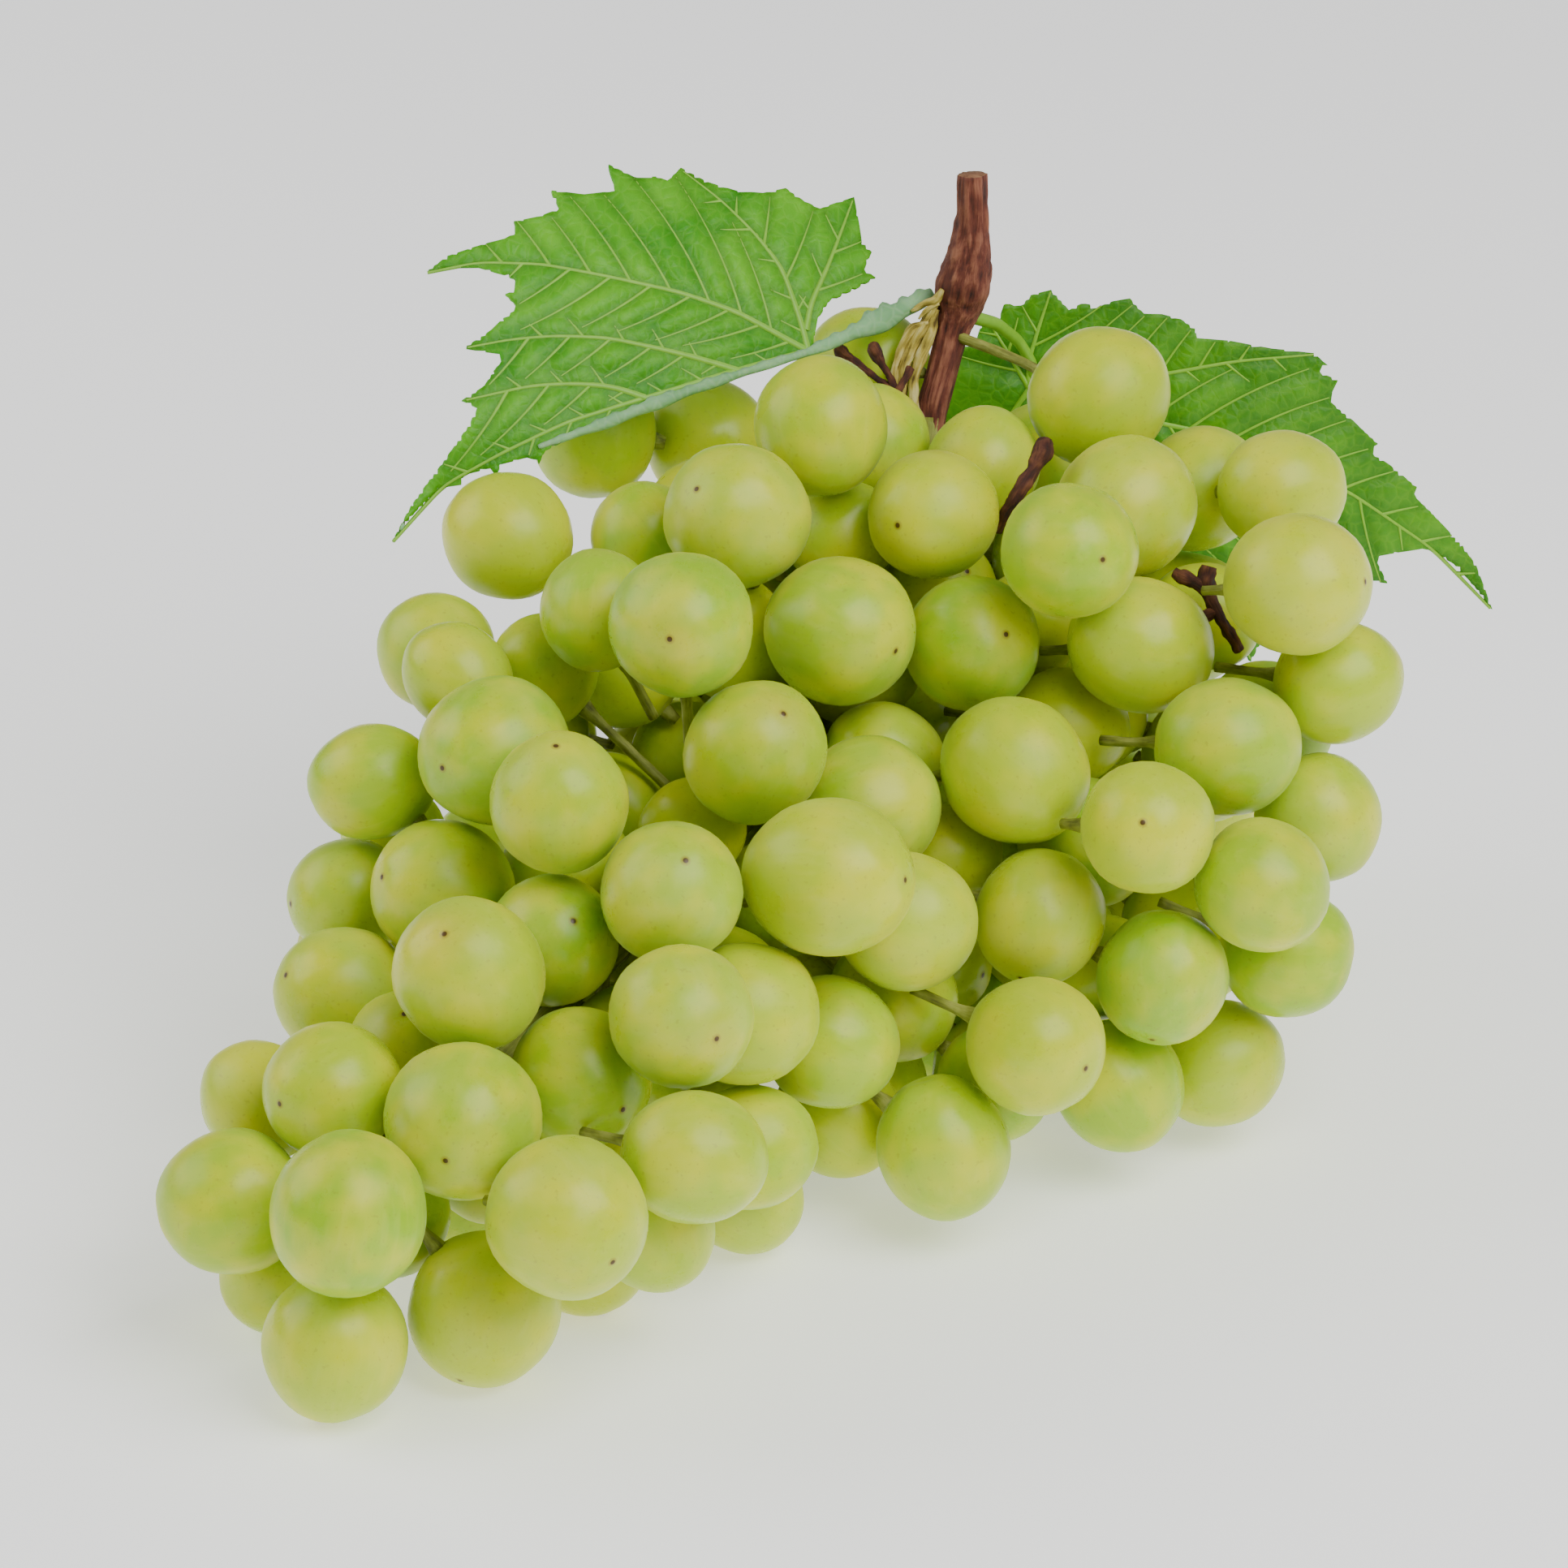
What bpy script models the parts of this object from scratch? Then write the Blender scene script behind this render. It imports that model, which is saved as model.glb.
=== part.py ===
"""A bunch of white table grapes lying on its side, with a stub of its woody cane and two vine leaves.

Metres, +Z up. +X is the bunch's right as it is seen from in front, +Y runs away, towards the stem end,
and the tip of the bunch points to -X -Y. The origin is the middle of its footprint, on the surface it lies on.
"""

import math

import bmesh
import bpy
import numpy as np
from mathutils import Vector

MM = 0.001
SEED = 7

# The front of the bunch is drawn on a plane that leans back, as an eye in front of it and above sees it.
# Every drawn point is (across, up) in millimetres, and its depth is how far it lies behind that plane.
EYE_ELEVATION = math.radians(25)
EYE_DISTANCE = 1200.0
DRAWING_CENTRE = np.array([0.0, 0.0, 49.7])
RIGHT = np.array([1.0, 0.0, 0.0])
UP = np.array([0.0, math.sin(EYE_ELEVATION), math.cos(EYE_ELEVATION)])
AWAY = np.array([0.0, math.cos(EYE_ELEVATION), -math.sin(EYE_ELEVATION)])

# Berries.
OVAL = (1.02, 1.12)  # length of a berry over its width, from the roundest to the most oval
OVAL_TILT = 0.35  # how far a berry's length strays from pointing straight out of the rachis
HIDDEN_DIAMETERS = (18.5, 22.0)
HIDDEN_SHELLS = ((0.5, 1.0), (1.35, 0.5))  # diameters in from the body's skin, and how crowded
HIDDEN_ROOM = 0.74  # of the room that it needs, which a hidden berry finds before it pushes in
GAP = 0.3  # between berries that press on each other
DRAWN_ROOM = 9.0  # round a front berry on the drawing, which no hidden berry comes in front of
HIDDEN_TOP = 54.0  # hidden berries end up below this height on the drawing, so that the cane shows
LAYER_DEPTHS = (0, 8, 14, 22)  # of the front layers, behind the front of the body
SETTLING_STEPS = 500
BERRY_DETAIL = 2  # an icosphere of 80 faces
STALK_RADIUS = 0.9
STALK_REACH = 3.0  # berries nearer than this hang on one sprig
MOST_ON_A_SPRIG = 4
MOST_SPRIGS = 57

# The front berries: across, up and diameter, in layers from the nearest to the farthest. Where the scar at a
# berry's end faces the front, its across and up follow.
FRONT_LAYERS = (
    (  # the foremost, which nothing covers
        (-48.4, -49.8, 22.6, -50.3, -54.8), (-31.3, -63.2, 23, -25, -68.7), (-46, -28.7, 22.6, -49, -23),
        (6, -15.6, 24, 16.5, -15.9), (-14.8, 22.6, 21.3, -16.4, 20.3), (7.6, 22.7, 22.4, 15.8, 19.5),
        (42.4, 33.5, 20.6, 46.8, 32), (34, 0.8, 22, 40.9, -6.4), (53.6, -6.6, 20.5, 52.5, -5.8),
        (36.3, -39, 20.4, 43.5, -42.2), (-15.2, -34.7, 20.7, -10.2, -38.3), (-17.5, -16.5, 21.2, -15.1, -12.4),
        (-32, -4, 20.4, -32.3, 3.9), (22, 39.7, 20.3, 16.7, 37.8), (-62.8, -63, 22.6),
    ),
    (  # the row behind them
        (-6.8, 38.8, 22, -12.5, 42.4), (27.2, 20.7, 20.8, 32, 21.8), (-5.3, 4.7, 21.6, -1.2, 10.1),
        (-34.4, -23, 20.6, -31, -20), (-29.5, -43, 20.4, -23.4, -47.1), (23.3, -52.5, 20.6),
        (-48.3, -15.2, 21, -56.8, -13.1), (-43, 3, 22.6, -50, 0.5), (12.8, -4, 21), (-14.3, -54, 20), (-5, -33.3, 21),
        (37.6, -19, 19.8, 34.7, -27.8), (51.5, 19.7, 21.2), (64.7, 5.8, 21.2), (56, -28, 19.6, 54.3, -37),
        (69.3, -15.5, 19.8, 77.6, -21.5), (50, 41, 21.6), (17.3, -21, 20.6), (6.2, -37.3, 19.8),
        (-44.7, -77, 22, -47.7, -86.8), (-66, -45.5, 20, -72.8, -47.1), (75.5, 29, 21.6, 84.9, 29.2),
    ),
    (  # between and beneath
        (5.6, 51.7, 20.7), (-65.7, -83.2, 21), (-80.5, -60.8, 21), (-34.6, 17, 16.6, -33.2, 24), (42, 8.5, 18.6),
        (-62.5, -30.5, 20, -70.5, -27.7), (-57, -8, 16), (-5, -52, 18.8), (16, -31, 19), (7.3, -47.8, 18.6),
        (-7, -59.5, 17.4), (48.8, -44, 19.6), (61, 42.5, 19.6), (45.3, 56, 21.6), (73.7, -24.7, 20), (70.8, 9.5, 19.6),
        (-27.5, 25, 17.6), (-47, 15.5, 16.2), (-28.5, -69.5, 18.4), (-19.5, -64.7, 18.2), (63.5, -41, 19.6),
        (-63.5, -17, 18, -72, -17.8), (-60.3, 0.3, 18), (73, 43, 19), (78.5, -5, 19), (81, 15, 19), (-40.5, 36.3, 19.5),
    ),
    (  # glimpsed through the gaps
        (-20, 36, 17), (-11, 50, 20), (-28, 52, 20.5), (-51, 19.5, 17.6), (-62, -25, 18.4), (-75.5, -47, 17.6),
        (-73.5, -72.5, 17), (-22, 2.5, 13), (-13, -8, 16.6), (14, 4, 18), (23.5, -10.5, 16), (31.5, -44, 17),
        (46, -26, 17), (35, 24, 16), (62, 24, 17), (9, 36, 17), (29, 46.5, 18), (12.5, 61.5, 19), (-23, 15, 17),
    ),
)

# The body that the berries fill, as ellipsoids that run into each other: centre and half sizes.
BODY = (
    ((-61, -86, 30), (29, 32, 30)),  # the tip
    ((-24, -46, 41), (44, 50, 42)),  # the middle
    ((24, 10, 47), (65, 58, 47)),  # the shoulders
    ((-26, 4, 50), (38, 44, 42)),  # the left shoulder
)

# The rachis, from the cut end of the cane, through the shoulders, to the tip: point and radius.
RACHIS = (
    ((27.7, 68, 119.5), 2.1), ((27.4, 67, 110), 2.3), ((27, 66, 98.5), 3.3), ((22.5, 62, 90), 2.9), ((19, 56, 79.5), 2.7),
    ((16, 42, 64), 2.4), ((6, 20, 52), 2.2), ((-12, -16, 43), 1.9), ((-34, -50, 36), 1.6), ((-56, -84, 29), 1.2),
)
SHOOT_RADIUS = 1.0
CANE_POINTS = 4  # at the start of the rachis, which bear no shoots
LONGEST_SHOOT = 42.0

# Leaves: outline and middle on the drawing plane, the depth at the middle, and how the depth changes
# across, up, and towards the rim. A petiole runs from the blade to the cane.
LEAF_THICKNESS = 0.9
LEAF_RINGS = (0.4, 0.75, 1.0)
LEAF_CLEARANCE = 2.2
LEAVES = {
    "leaf_left": dict(
        outline=(
            (20.5, 70), (13, 74), (12, 80), (10, 85.5), (0.5, 87), (-7, 86), (-15, 90), (-25.5, 90.4), (-34, 86.7),
            (-41, 80), (-52, 75.7), (-46.5, 70), (-43, 68), (-46.2, 64), (-44, 60), (-46.5, 56.8), (-50, 48),
            (-57.5, 35), (-47.7, 44.6), (-36, 48.6), (-29, 52), (-20, 56), (-8, 59.6), (3.5, 62.5), (12, 65), (18, 67.5),
        ),
        middle=(-18, 69), depth=(20, 0.38, 0.45, 5), petiole=(),
    ),
    "leaf_right": dict(
        outline=(
            (25, 64.3), (29.6, 68.8), (39.4, 72.3), (51.3, 71), (60.4, 65.5), (70, 64.5), (77.7, 63), (80.6, 57),
            (86.8, 49.8), (92.6, 43.6), (100.4, 35.2), (103.6, 25.5), (94, 28.5), (86, 30), (74, 22), (60, 20), (52, 14),
            (42, 22), (34, 22), (28, 32), (22, 42), (20, 54),
        ),
        middle=(50, 50), depth=(63, 0.02, -0.3, 7), petiole=((40, 62.5, 61), (34, 65, 57), (30, 67.5, 47)),
    ),
}
PETIOLE_RADIUS = 1.1


def sight(across, up, depth):
    """The points that lie depth behind the drawing plane, on the lines of sight through across and up."""
    across, up, depth = (np.atleast_1d(np.asarray(v, float)) for v in (across, up, depth))
    drawn = across[:, None] * RIGHT + up[:, None] * UP
    return DRAWING_CENTRE + drawn * (1 + depth[:, None] / EYE_DISTANCE) + depth[:, None] * AWAY


def body_front(across, up, radius):
    """The depth at which a berry on this line of sight just fits in the front of the body."""
    start, end = sight(across, up, 0)[0], sight(across, up, 1)[0]
    hits = []
    for centre, half in BODY:
        half = np.array(half) - radius
        a, b = (start - centre) / half, (end - start) / half
        nearest = -(a @ b) / (b @ b)
        miss = (a + nearest * b) @ (a + nearest * b)
        hits.append(nearest - math.sqrt(max(1 - miss, 0) / (b @ b)) + 20 * min(max(miss - 1, 0), 1.5))
    return min(hits)


def leaf_grid(leaf):
    """The rings of points of a leaf, from its middle point out to its rim."""
    middle = np.array(leaf["middle"], float)
    depth, over_across, over_up, droop = leaf["depth"]
    rings = []
    for part in (0.0, *LEAF_RINGS):
        drawn = middle + part * (np.array(leaf["outline"]) - middle)
        drawn = drawn if part else drawn[:1]
        off = drawn - middle
        rings.append(sight(drawn[:, 0], drawn[:, 1], depth + off[:, 0] * over_across + off[:, 1] * over_up + droop * part * part))
    return rings


def nearest_on_rachis(points):
    """The nearest point of the rachis to each point, and its distance beyond the rachis's skin."""
    best, best_distance = points.copy(), np.full(len(points), np.inf)
    for (a, ra), (b, rb) in zip(RACHIS, RACHIS[1:]):
        a, b = np.array(a, float), np.array(b, float)
        along = np.clip((points - a) @ (b - a) / ((b - a) @ (b - a)), 0, 1)
        on_line = a + along[:, None] * (b - a)
        distance = np.linalg.norm(points - on_line, axis=1) - (ra + along * (rb - ra))
        closer = distance < best_distance
        best[closer], best_distance[closer] = on_line[closer], distance[closer]
    return best, best_distance


def lay_out_berries():
    """Centres, diameters and length directions of all the berries, in millimetres."""
    rng = np.random.default_rng(SEED)
    drawn = [berry for layer in FRONT_LAYERS for berry in layer]
    layer_of = np.array([n for n, layer in enumerate(FRONT_LAYERS) for _ in layer])
    centres = [sight(a, u, body_front(a, u, d / 2) + LAYER_DEPTHS[n])[0] for (a, u, d, *_), n in zip(drawn, layer_of)]
    diameters = [berry[2] for berry in drawn]
    # The hidden berries start on a spiral over each ellipsoid's skin, wherever the front ones leave room.
    for centre, half in BODY:
        for inset, crowd in HIDDEN_SHELLS:
            shell = np.array(half) - inset * 20
            count = int(crowd * 4 * math.pi * shell.prod() ** (2 / 3) / 20**2 * 1.15)
            for n in range(count):
                z = 1 - (2 * n + 1) / count
                turn = n * math.pi * (3 - math.sqrt(5))
                way = np.array([math.sqrt(1 - z * z) * math.cos(turn), math.sqrt(1 - z * z) * math.sin(turn), z])
                diameter = rng.uniform(*HIDDEN_DIAMETERS)
                point = centre + way * shell
                inside = [(((point - c) / (np.array(h) - inset * 20)) ** 2).sum() for c, h in BODY]
                clear = np.linalg.norm(np.array(centres) - point, axis=1) > 0.5 * (np.array(diameters) + diameter) * HIDDEN_ROOM
                if min(inside) > 0.9 and clear.all():
                    centres.append(point)
                    diameters.append(diameter)
    centres, diameters = np.array(centres), np.array(diameters)
    home, front = centres.copy(), np.arange(len(centres)) < len(drawn)
    eye = DRAWING_CENTRE - AWAY * EYE_DISTANCE
    way_in = home - eye
    way_in /= np.linalg.norm(way_in, axis=1)[:, None]
    on_rachis, _ = nearest_on_rachis(centres)
    lengthwise = centres - on_rachis + OVAL_TILT * np.linalg.norm(centres - on_rachis, axis=1)[:, None] * rng.normal(size=centres.shape)
    for k, (a, u, d, *scar) in enumerate(drawn):
        if scar:  # a berry's length runs out through its scar
            off = (np.array(scar) - (a, u)) / (d / 2)
            lengthwise[k] = off[0] * RIGHT + off[1] * UP - math.sqrt(max(1 - off @ off, 0)) * AWAY
        else:
            sideways = lengthwise[k] - (lengthwise[k] @ AWAY) * AWAY
            lengthwise[k] = sideways / np.linalg.norm(sideways) + 0.2 * AWAY
    lengthwise /= np.linalg.norm(lengthwise, axis=1)[:, None]
    oval = rng.uniform(*OVAL, size=len(centres))
    widths = diameters / oval ** 0.5
    lengths = widths * oval

    everyone = np.arange(len(centres))

    def reach(index, way):
        return np.sqrt(widths[index] ** 2 + (lengths[index] ** 2 - widths[index] ** 2) * (lengthwise[index] * way).sum(-1) ** 2) / 2

    leaf_points = np.vstack([ring for leaf in LEAVES.values() for ring in leaf_grid(leaf)])
    # The left leaf hangs in front of the berries of the back layers that meet it on the drawing.
    over = np.vstack(leaf_grid(LEAVES["leaf_left"])) - DRAWING_CENTRE
    over_depth = over @ AWAY
    over_place = np.stack([over @ RIGHT, over @ UP], 1) / (1 + over_depth[:, None] / EYE_DISTANCE)
    aside = np.array([[math.hypot(a - x, u - y) / (d / 2 + 0.6) for x, y in over_place] for a, u, d, *_ in drawn])
    room = 10.5 * np.sqrt(np.maximum(1 - aside**2, 0)) + LEAF_CLEARANCE
    needed = np.where((aside < 1) & (layer_of[:, None] >= 2), over_depth + room, -999).max(1)
    under_leaf = np.r_[needed > -999, np.zeros(len(centres) - len(drawn), bool)]

    def leaf_push():
        apart = centres[:, None] - leaf_points[None]
        distance = np.linalg.norm(apart, axis=2)
        nearest = distance.argmin(1)
        distance = distance[everyone, nearest]
        way = apart[everyone, nearest] / distance[:, None]
        push = np.maximum(reach(everyone, way) + LEAF_CLEARANCE - distance, 0)[:, None] * way
        short = np.maximum(needed - (centres[: len(drawn)] - DRAWING_CENTRE) @ AWAY, 0)
        push[under_leaf] = (0.5 * short[:, None] * way_in[: len(drawn)])[under_leaf[: len(drawn)]]
        return push

    # Front berries that meet on the drawing keep the order of their layers.
    place = np.array([berry[:2] for berry in drawn])
    before, behind = np.nonzero(layer_of[:, None] < layer_of[None])
    apart = np.linalg.norm(place[before] - place[behind], axis=1)
    touch = (diameters[before] + diameters[behind]) / 2
    meet = apart < 0.9 * touch
    before, behind, order_gap = before[meet], behind[meet], 0.85 * np.sqrt(touch[meet] ** 2 - apart[meet] ** 2)

    def order_push():
        depth = (centres[: len(drawn)] - DRAWING_CENTRE) @ AWAY
        short = np.maximum(order_gap - (depth[behind] - depth[before]), 0)
        push = np.zeros(len(centres))
        np.add.at(push, behind, 0.2 * short)
        np.add.at(push, before, -0.2 * short)
        return push[:, None] * way_in

    first, second = np.triu_indices(len(centres), 1)
    down = np.tile([0.0, 0.0, 1.0], (len(centres), 1))
    for step in range(SETTLING_STEPS):
        # Front berries are drawn back to their lines of sight, hidden ones in towards the rachis, and all are pushed apart.
        strength = 1 - step / SETTLING_STEPS
        off_line = home - centres
        off_line -= (off_line * way_in).sum(1)[:, None] * way_in
        centres[front] += 0.3 * strength * off_line[front]
        on_rachis, beyond = nearest_on_rachis(centres)
        inward = on_rachis - centres
        inward /= np.linalg.norm(inward, axis=1)[:, None]
        centres[~front] += 0.25 * strength * inward[~front]
        deeper = np.maximum((inward * way_in).sum(1), 0)
        centres[front] += 0.3 * strength * deeper[front, None] * way_in[front]
        centres += order_push()
        centres[~front, 2] -= 0.10 * strength
        for _ in range(3):
            apart = centres[second] - centres[first]
            distance = np.linalg.norm(apart, axis=1)
            near = distance < 28
            i, j, apart, distance = first[near], second[near], apart[near], distance[near]
            way = apart / distance[:, None]
            overlap = np.maximum(reach(i, way) + reach(j, way) + GAP - distance, 0)
            push = np.zeros_like(centres)
            np.add.at(push, i, -0.45 * overlap[:, None] * way)
            np.add.at(push, j, 0.45 * overlap[:, None] * way)
            # Depth gives way more easily than place on the drawing.
            sideways = push - (push * way_in).sum(1)[:, None] * way_in
            push[front] -= 0.6 * strength * sideways[front]
            centres += push
            on_rachis, beyond = nearest_on_rachis(centres)
            outward = centres - on_rachis
            outward /= np.linalg.norm(outward, axis=1)[:, None]
            centres += np.maximum(reach(everyone, outward) + GAP - beyond, 0)[:, None] * outward
            centres += leaf_push()
            centres[:, 2] = np.maximum(centres[:, 2], reach(everyone, down))
    # Hidden berries that came out in front of a drawn one, or too high, or that still find no room are left out,
    # and the rest are taken in until every pair is clear.
    seen = centres - DRAWING_CENTRE
    depth = seen @ AWAY
    spot = np.stack([seen @ RIGHT, seen @ UP], 1) / (1 + depth[:, None] / EYE_DISTANCE)
    aside = np.linalg.norm(spot[:, None] - spot[None, front], axis=2)
    in_front = ((aside < DRAWN_ROOM) & (depth[:, None] < depth[None, front])).any(1)
    keep = front | ~(in_front | (spot[:, 1] > HIDDEN_TOP))
    while True:
        apart = centres[second] - centres[first]
        distance = np.linalg.norm(apart, axis=1)
        way = apart / distance[:, None]
        overlap = reach(first, way) + reach(second, way) + GAP - distance
        overlap[~(keep[first] & keep[second])] = 0
        worst = int(np.argmax(overlap))
        if overlap[worst] <= 0.9:
            break
        i, j = first[worst], second[worst]
        load = [np.maximum(overlap[(first == k) | (second == k)], 0).sum() - 100 * front[k] for k in (i, j)]
        keep[(i, j)[int(load[1] > load[0])]] = False
    _, beyond = nearest_on_rachis(centres)
    scale = np.minimum(1, (beyond - GAP) / (lengths / 2))
    while True:
        total = reach(first, way) * scale[first] + reach(second, way) * scale[second]
        over = (total + GAP > distance + 1e-6) & keep[first] & keep[second]
        if not over.any():
            break
        ratio = (distance - GAP) / total
        for k in np.flatnonzero(over):
            scale[first[k]] *= max(ratio[k], 0.9)
            scale[second[k]] *= max(ratio[k], 0.9)
    centres[:, 2] -= np.where(centres[:, 2] - reach(everyone, down) < 0.05, reach(everyone, down) * (1 - scale), 0)
    return centres[keep], (widths * scale)[keep], (lengths * scale)[keep], lengthwise[keep], front[keep]


def sprigs(centres, widths, lengths, lengthwise):
    """Groups of neighbouring berries, each a list of berry indices with the pairs that a stalk joins."""
    count = len(centres)
    pairs = []
    for i in range(count):
        for j in range(i + 1, count):
            way = centres[j] - centres[i]
            distance = np.linalg.norm(way)
            way /= distance
            reach = [math.sqrt(widths[k] ** 2 + (lengths[k] ** 2 - widths[k] ** 2) * (lengthwise[k] @ way) ** 2) / 2 for k in (i, j)]
            if distance - sum(reach) < STALK_REACH:
                pairs.append((distance - sum(reach), i, j))
    groups, stalks = {k: [k] for k in range(count)}, {k: [] for k in range(count)}
    home = list(range(count))
    for most in range(2, MOST_ON_A_SPRIG + 1):
        for gap, i, j in sorted(pairs):
            a, b = home[i], home[j]
            if a != b and len(groups[a]) + len(groups[b]) <= most and len(groups) > MOST_SPRIGS:
                groups[a] += groups.pop(b)
                stalks[a] += stalks.pop(b) + [(i, j)]
                for k in groups[a]:
                    home[k] = a
    order = sorted(groups, key=lambda g: (round(centres[groups[g]][:, 1].mean() / 20), centres[groups[g]][:, 0].mean()))
    return [(groups[g], stalks[g]) for g in order]


def material(name, colour, roughness):
    made = bpy.data.materials.new(name)
    made.use_nodes = True
    shader = made.node_tree.nodes["Principled BSDF"]
    shader.inputs["Base Color"].default_value = (*colour, 1)
    shader.inputs["Roughness"].default_value = roughness
    shader.inputs["Metallic"].default_value = 0
    made.diffuse_color = (*colour, 1)
    return made


def add_object(name, form, coat):
    """Turns a bmesh in millimetres into a named object in metres, with its origin in its own middle."""
    bmesh.ops.recalc_face_normals(form, faces=form.faces)
    middle = sum((v.co for v in form.verts), Vector()) / len(form.verts)
    bmesh.ops.translate(form, vec=-middle, verts=form.verts)
    bmesh.ops.scale(form, vec=(MM, MM, MM), verts=form.verts)
    mesh = bpy.data.meshes.new(name)
    form.to_mesh(mesh)
    form.free()
    mesh.shade_smooth()
    made = bpy.data.objects.new(name, mesh)
    made.location = middle * MM
    bpy.context.scene.collection.objects.link(made)
    if coat:
        mesh.materials.append(coat)
    return made


def add_tube(form, points, radii, sides):
    """A closed tube of round section through the points."""
    points = [Vector(p) for p in points]
    rings, side = [], None
    for n, point in enumerate(points):
        along = (points[min(n + 1, len(points) - 1)] - points[max(n - 1, 0)]).normalized()
        side = (side - along * side.dot(along)).normalized() if side else along.orthogonal().normalized()
        other = along.cross(side)
        rings.append([form.verts.new(point + radii[n] * (math.cos(t) * side + math.sin(t) * other))
                      for t in (2 * math.pi * k / sides for k in range(sides))])
    for a, b in zip(rings, rings[1:]):
        for k in range(sides):
            form.faces.new((a[k], a[(k + 1) % sides], b[(k + 1) % sides], b[k]))
    form.faces.new(rings[0][::-1])
    form.faces.new(rings[-1])


def join(base, other):
    """Unites two objects with a Boolean that stays on the first; the second is a cutter."""
    union = base.modifiers.new("join", "BOOLEAN")
    union.operation = "UNION"
    union.solver = "EXACT"
    union.object = other
    other.hide_render = True
    other.display_type = "WIRE"


def make_sprig(name, berries, stalks, centres, widths, lengths, lengthwise, coat):
    form = bmesh.new()
    for k in berries:
        ball = bmesh.ops.create_icosphere(form, subdivisions=BERRY_DETAIL, radius=widths[k] / 2)["verts"]
        bmesh.ops.scale(form, vec=(1, 1, lengths[k] / widths[k]), verts=ball)
        turn = Vector(lengthwise[k]).to_track_quat("Z", "Y").to_matrix()
        bmesh.ops.rotate(form, cent=(0, 0, 0), matrix=turn, verts=ball)
        bmesh.ops.translate(form, vec=centres[k], verts=ball)
    sprig = add_object(name, form, coat)
    if stalks:
        form = bmesh.new()
        for i, j in stalks:
            way = (centres[j] - centres[i]) / np.linalg.norm(centres[j] - centres[i])
            ends = centres[i] + way * widths[i] * 0.36, centres[j] - way * widths[j] * 0.36
            add_tube(form, ends, (STALK_RADIUS, STALK_RADIUS), 5)
        join(sprig, add_object(name + "_stalks", form, None))


def make_stem(centres, widths, lengths, coat):
    form = bmesh.new()
    add_tube(form, [p for p, _ in RACHIS], [r for _, r in RACHIS], 10)
    stem = add_object("stem", form, coat)
    # A shoot runs from the rachis to each berry whose way is clear of the others.
    form = bmesh.new()
    on_rachis, _ = nearest_on_rachis(centres)
    last_bare = np.array(RACHIS[CANE_POINTS - 1][0], float)
    made = []
    for k in np.argsort(np.linalg.norm(centres - on_rachis, axis=1)):
        start, way = on_rachis[k], centres[k] - on_rachis[k]
        length = np.linalg.norm(way) - lengths[k] / 2 - 2 * GAP - SHOOT_RADIUS / 3
        way /= np.linalg.norm(way)
        others = np.delete(np.arange(len(centres)), k)
        along = np.clip((centres[others] - start) @ way, 0, length)
        miss = np.linalg.norm(centres[others] - start - along[:, None] * way, axis=1) - lengths[others] / 2
        apart = [np.linalg.norm(start - s) for s, w in made]
        bears = start[1] < last_bare[1] - 1 and 8 < length < LONGEST_SHOOT
        if bears and miss.min() > SHOOT_RADIUS + 2 * GAP and all(d > 4 for d in apart):
            add_tube(form, (start, start + way * length), (SHOOT_RADIUS, SHOOT_RADIUS * 0.7), 5)
            made.append((start, way))
    join(stem, add_object("stem_shoots", form, None))


def make_leaf(name, coat):
    """A thin curved blade, with its petiole where it has one."""
    leaf = LEAVES[name]
    form = bmesh.new()
    rings = [[form.verts.new(p) for p in ring] for ring in leaf_grid(leaf)]
    middle, count = rings[0][0], len(rings[1])
    for k in range(count):
        form.faces.new((middle, rings[1][k], rings[1][(k + 1) % count]))
        for a, b in zip(rings[1:], rings[2:]):
            form.faces.new((a[k], b[k], b[(k + 1) % count], a[(k + 1) % count]))
    bmesh.ops.triangulate(form, faces=form.faces)
    blade = add_object(name, form, coat)
    thick = blade.modifiers.new("thickness", "SOLIDIFY")
    thick.thickness = LEAF_THICKNESS * MM
    thick.offset = 0
    if leaf["petiole"]:
        form = bmesh.new()
        points = [sight(*p)[0] for p in leaf["petiole"]]
        add_tube(form, points, [PETIOLE_RADIUS] * len(points), 6)
        join(blade, add_object(name + "_petiole", form, None))


def stand_on_origin():
    """Moves every object so that the middle of the bunch's footprint is the origin."""
    bpy.context.view_layer.update()
    depsgraph = bpy.context.evaluated_depsgraph_get()
    solids = [one.evaluated_get(depsgraph) for one in bpy.data.objects if not one.hide_render]
    box = [one.matrix_world @ v.co for one in solids for v in one.data.vertices]
    low, high = (Vector([f(p[k] for p in box) for k in range(3)]) for f in (min, max))
    shift = Vector((-(low.x + high.x) / 2, -(low.y + high.y) / 2, -low.z))
    for one in bpy.data.objects:
        one.location += shift


def main():
    for old in list(bpy.data.objects):
        bpy.data.objects.remove(old, do_unlink=True)
    centres, widths, lengths, lengthwise, _ = lay_out_berries()
    berry_skin = material("grape", (0.55, 0.6, 0.12), 0.3)
    bark = material("bark", (0.2, 0.06, 0.03), 0.8)
    leaf_green = material("vine_leaf", (0.12, 0.36, 0.04), 0.55)
    make_stem(centres, widths, lengths, bark)
    for name in LEAVES:
        make_leaf(name, leaf_green)
    for n, (berries, stalks) in enumerate(sprigs(centres, widths, lengths, lengthwise)):
        make_sprig(f"sprig_{n + 1:02d}", berries, stalks, centres, widths, lengths, lengthwise, berry_skin)
    stand_on_origin()


main()
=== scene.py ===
"""The looks of a bunch of white table grapes: berries with a waxy bloom, two vine leaves and a woody cane.

Run as a script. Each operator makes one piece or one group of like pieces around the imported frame.
"""

import math

import bmesh
import bpy
import numpy as np
from bpy.props import FloatProperty, FloatVectorProperty, IntProperty, PointerProperty
from mathutils import Matrix, Vector, noise


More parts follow.
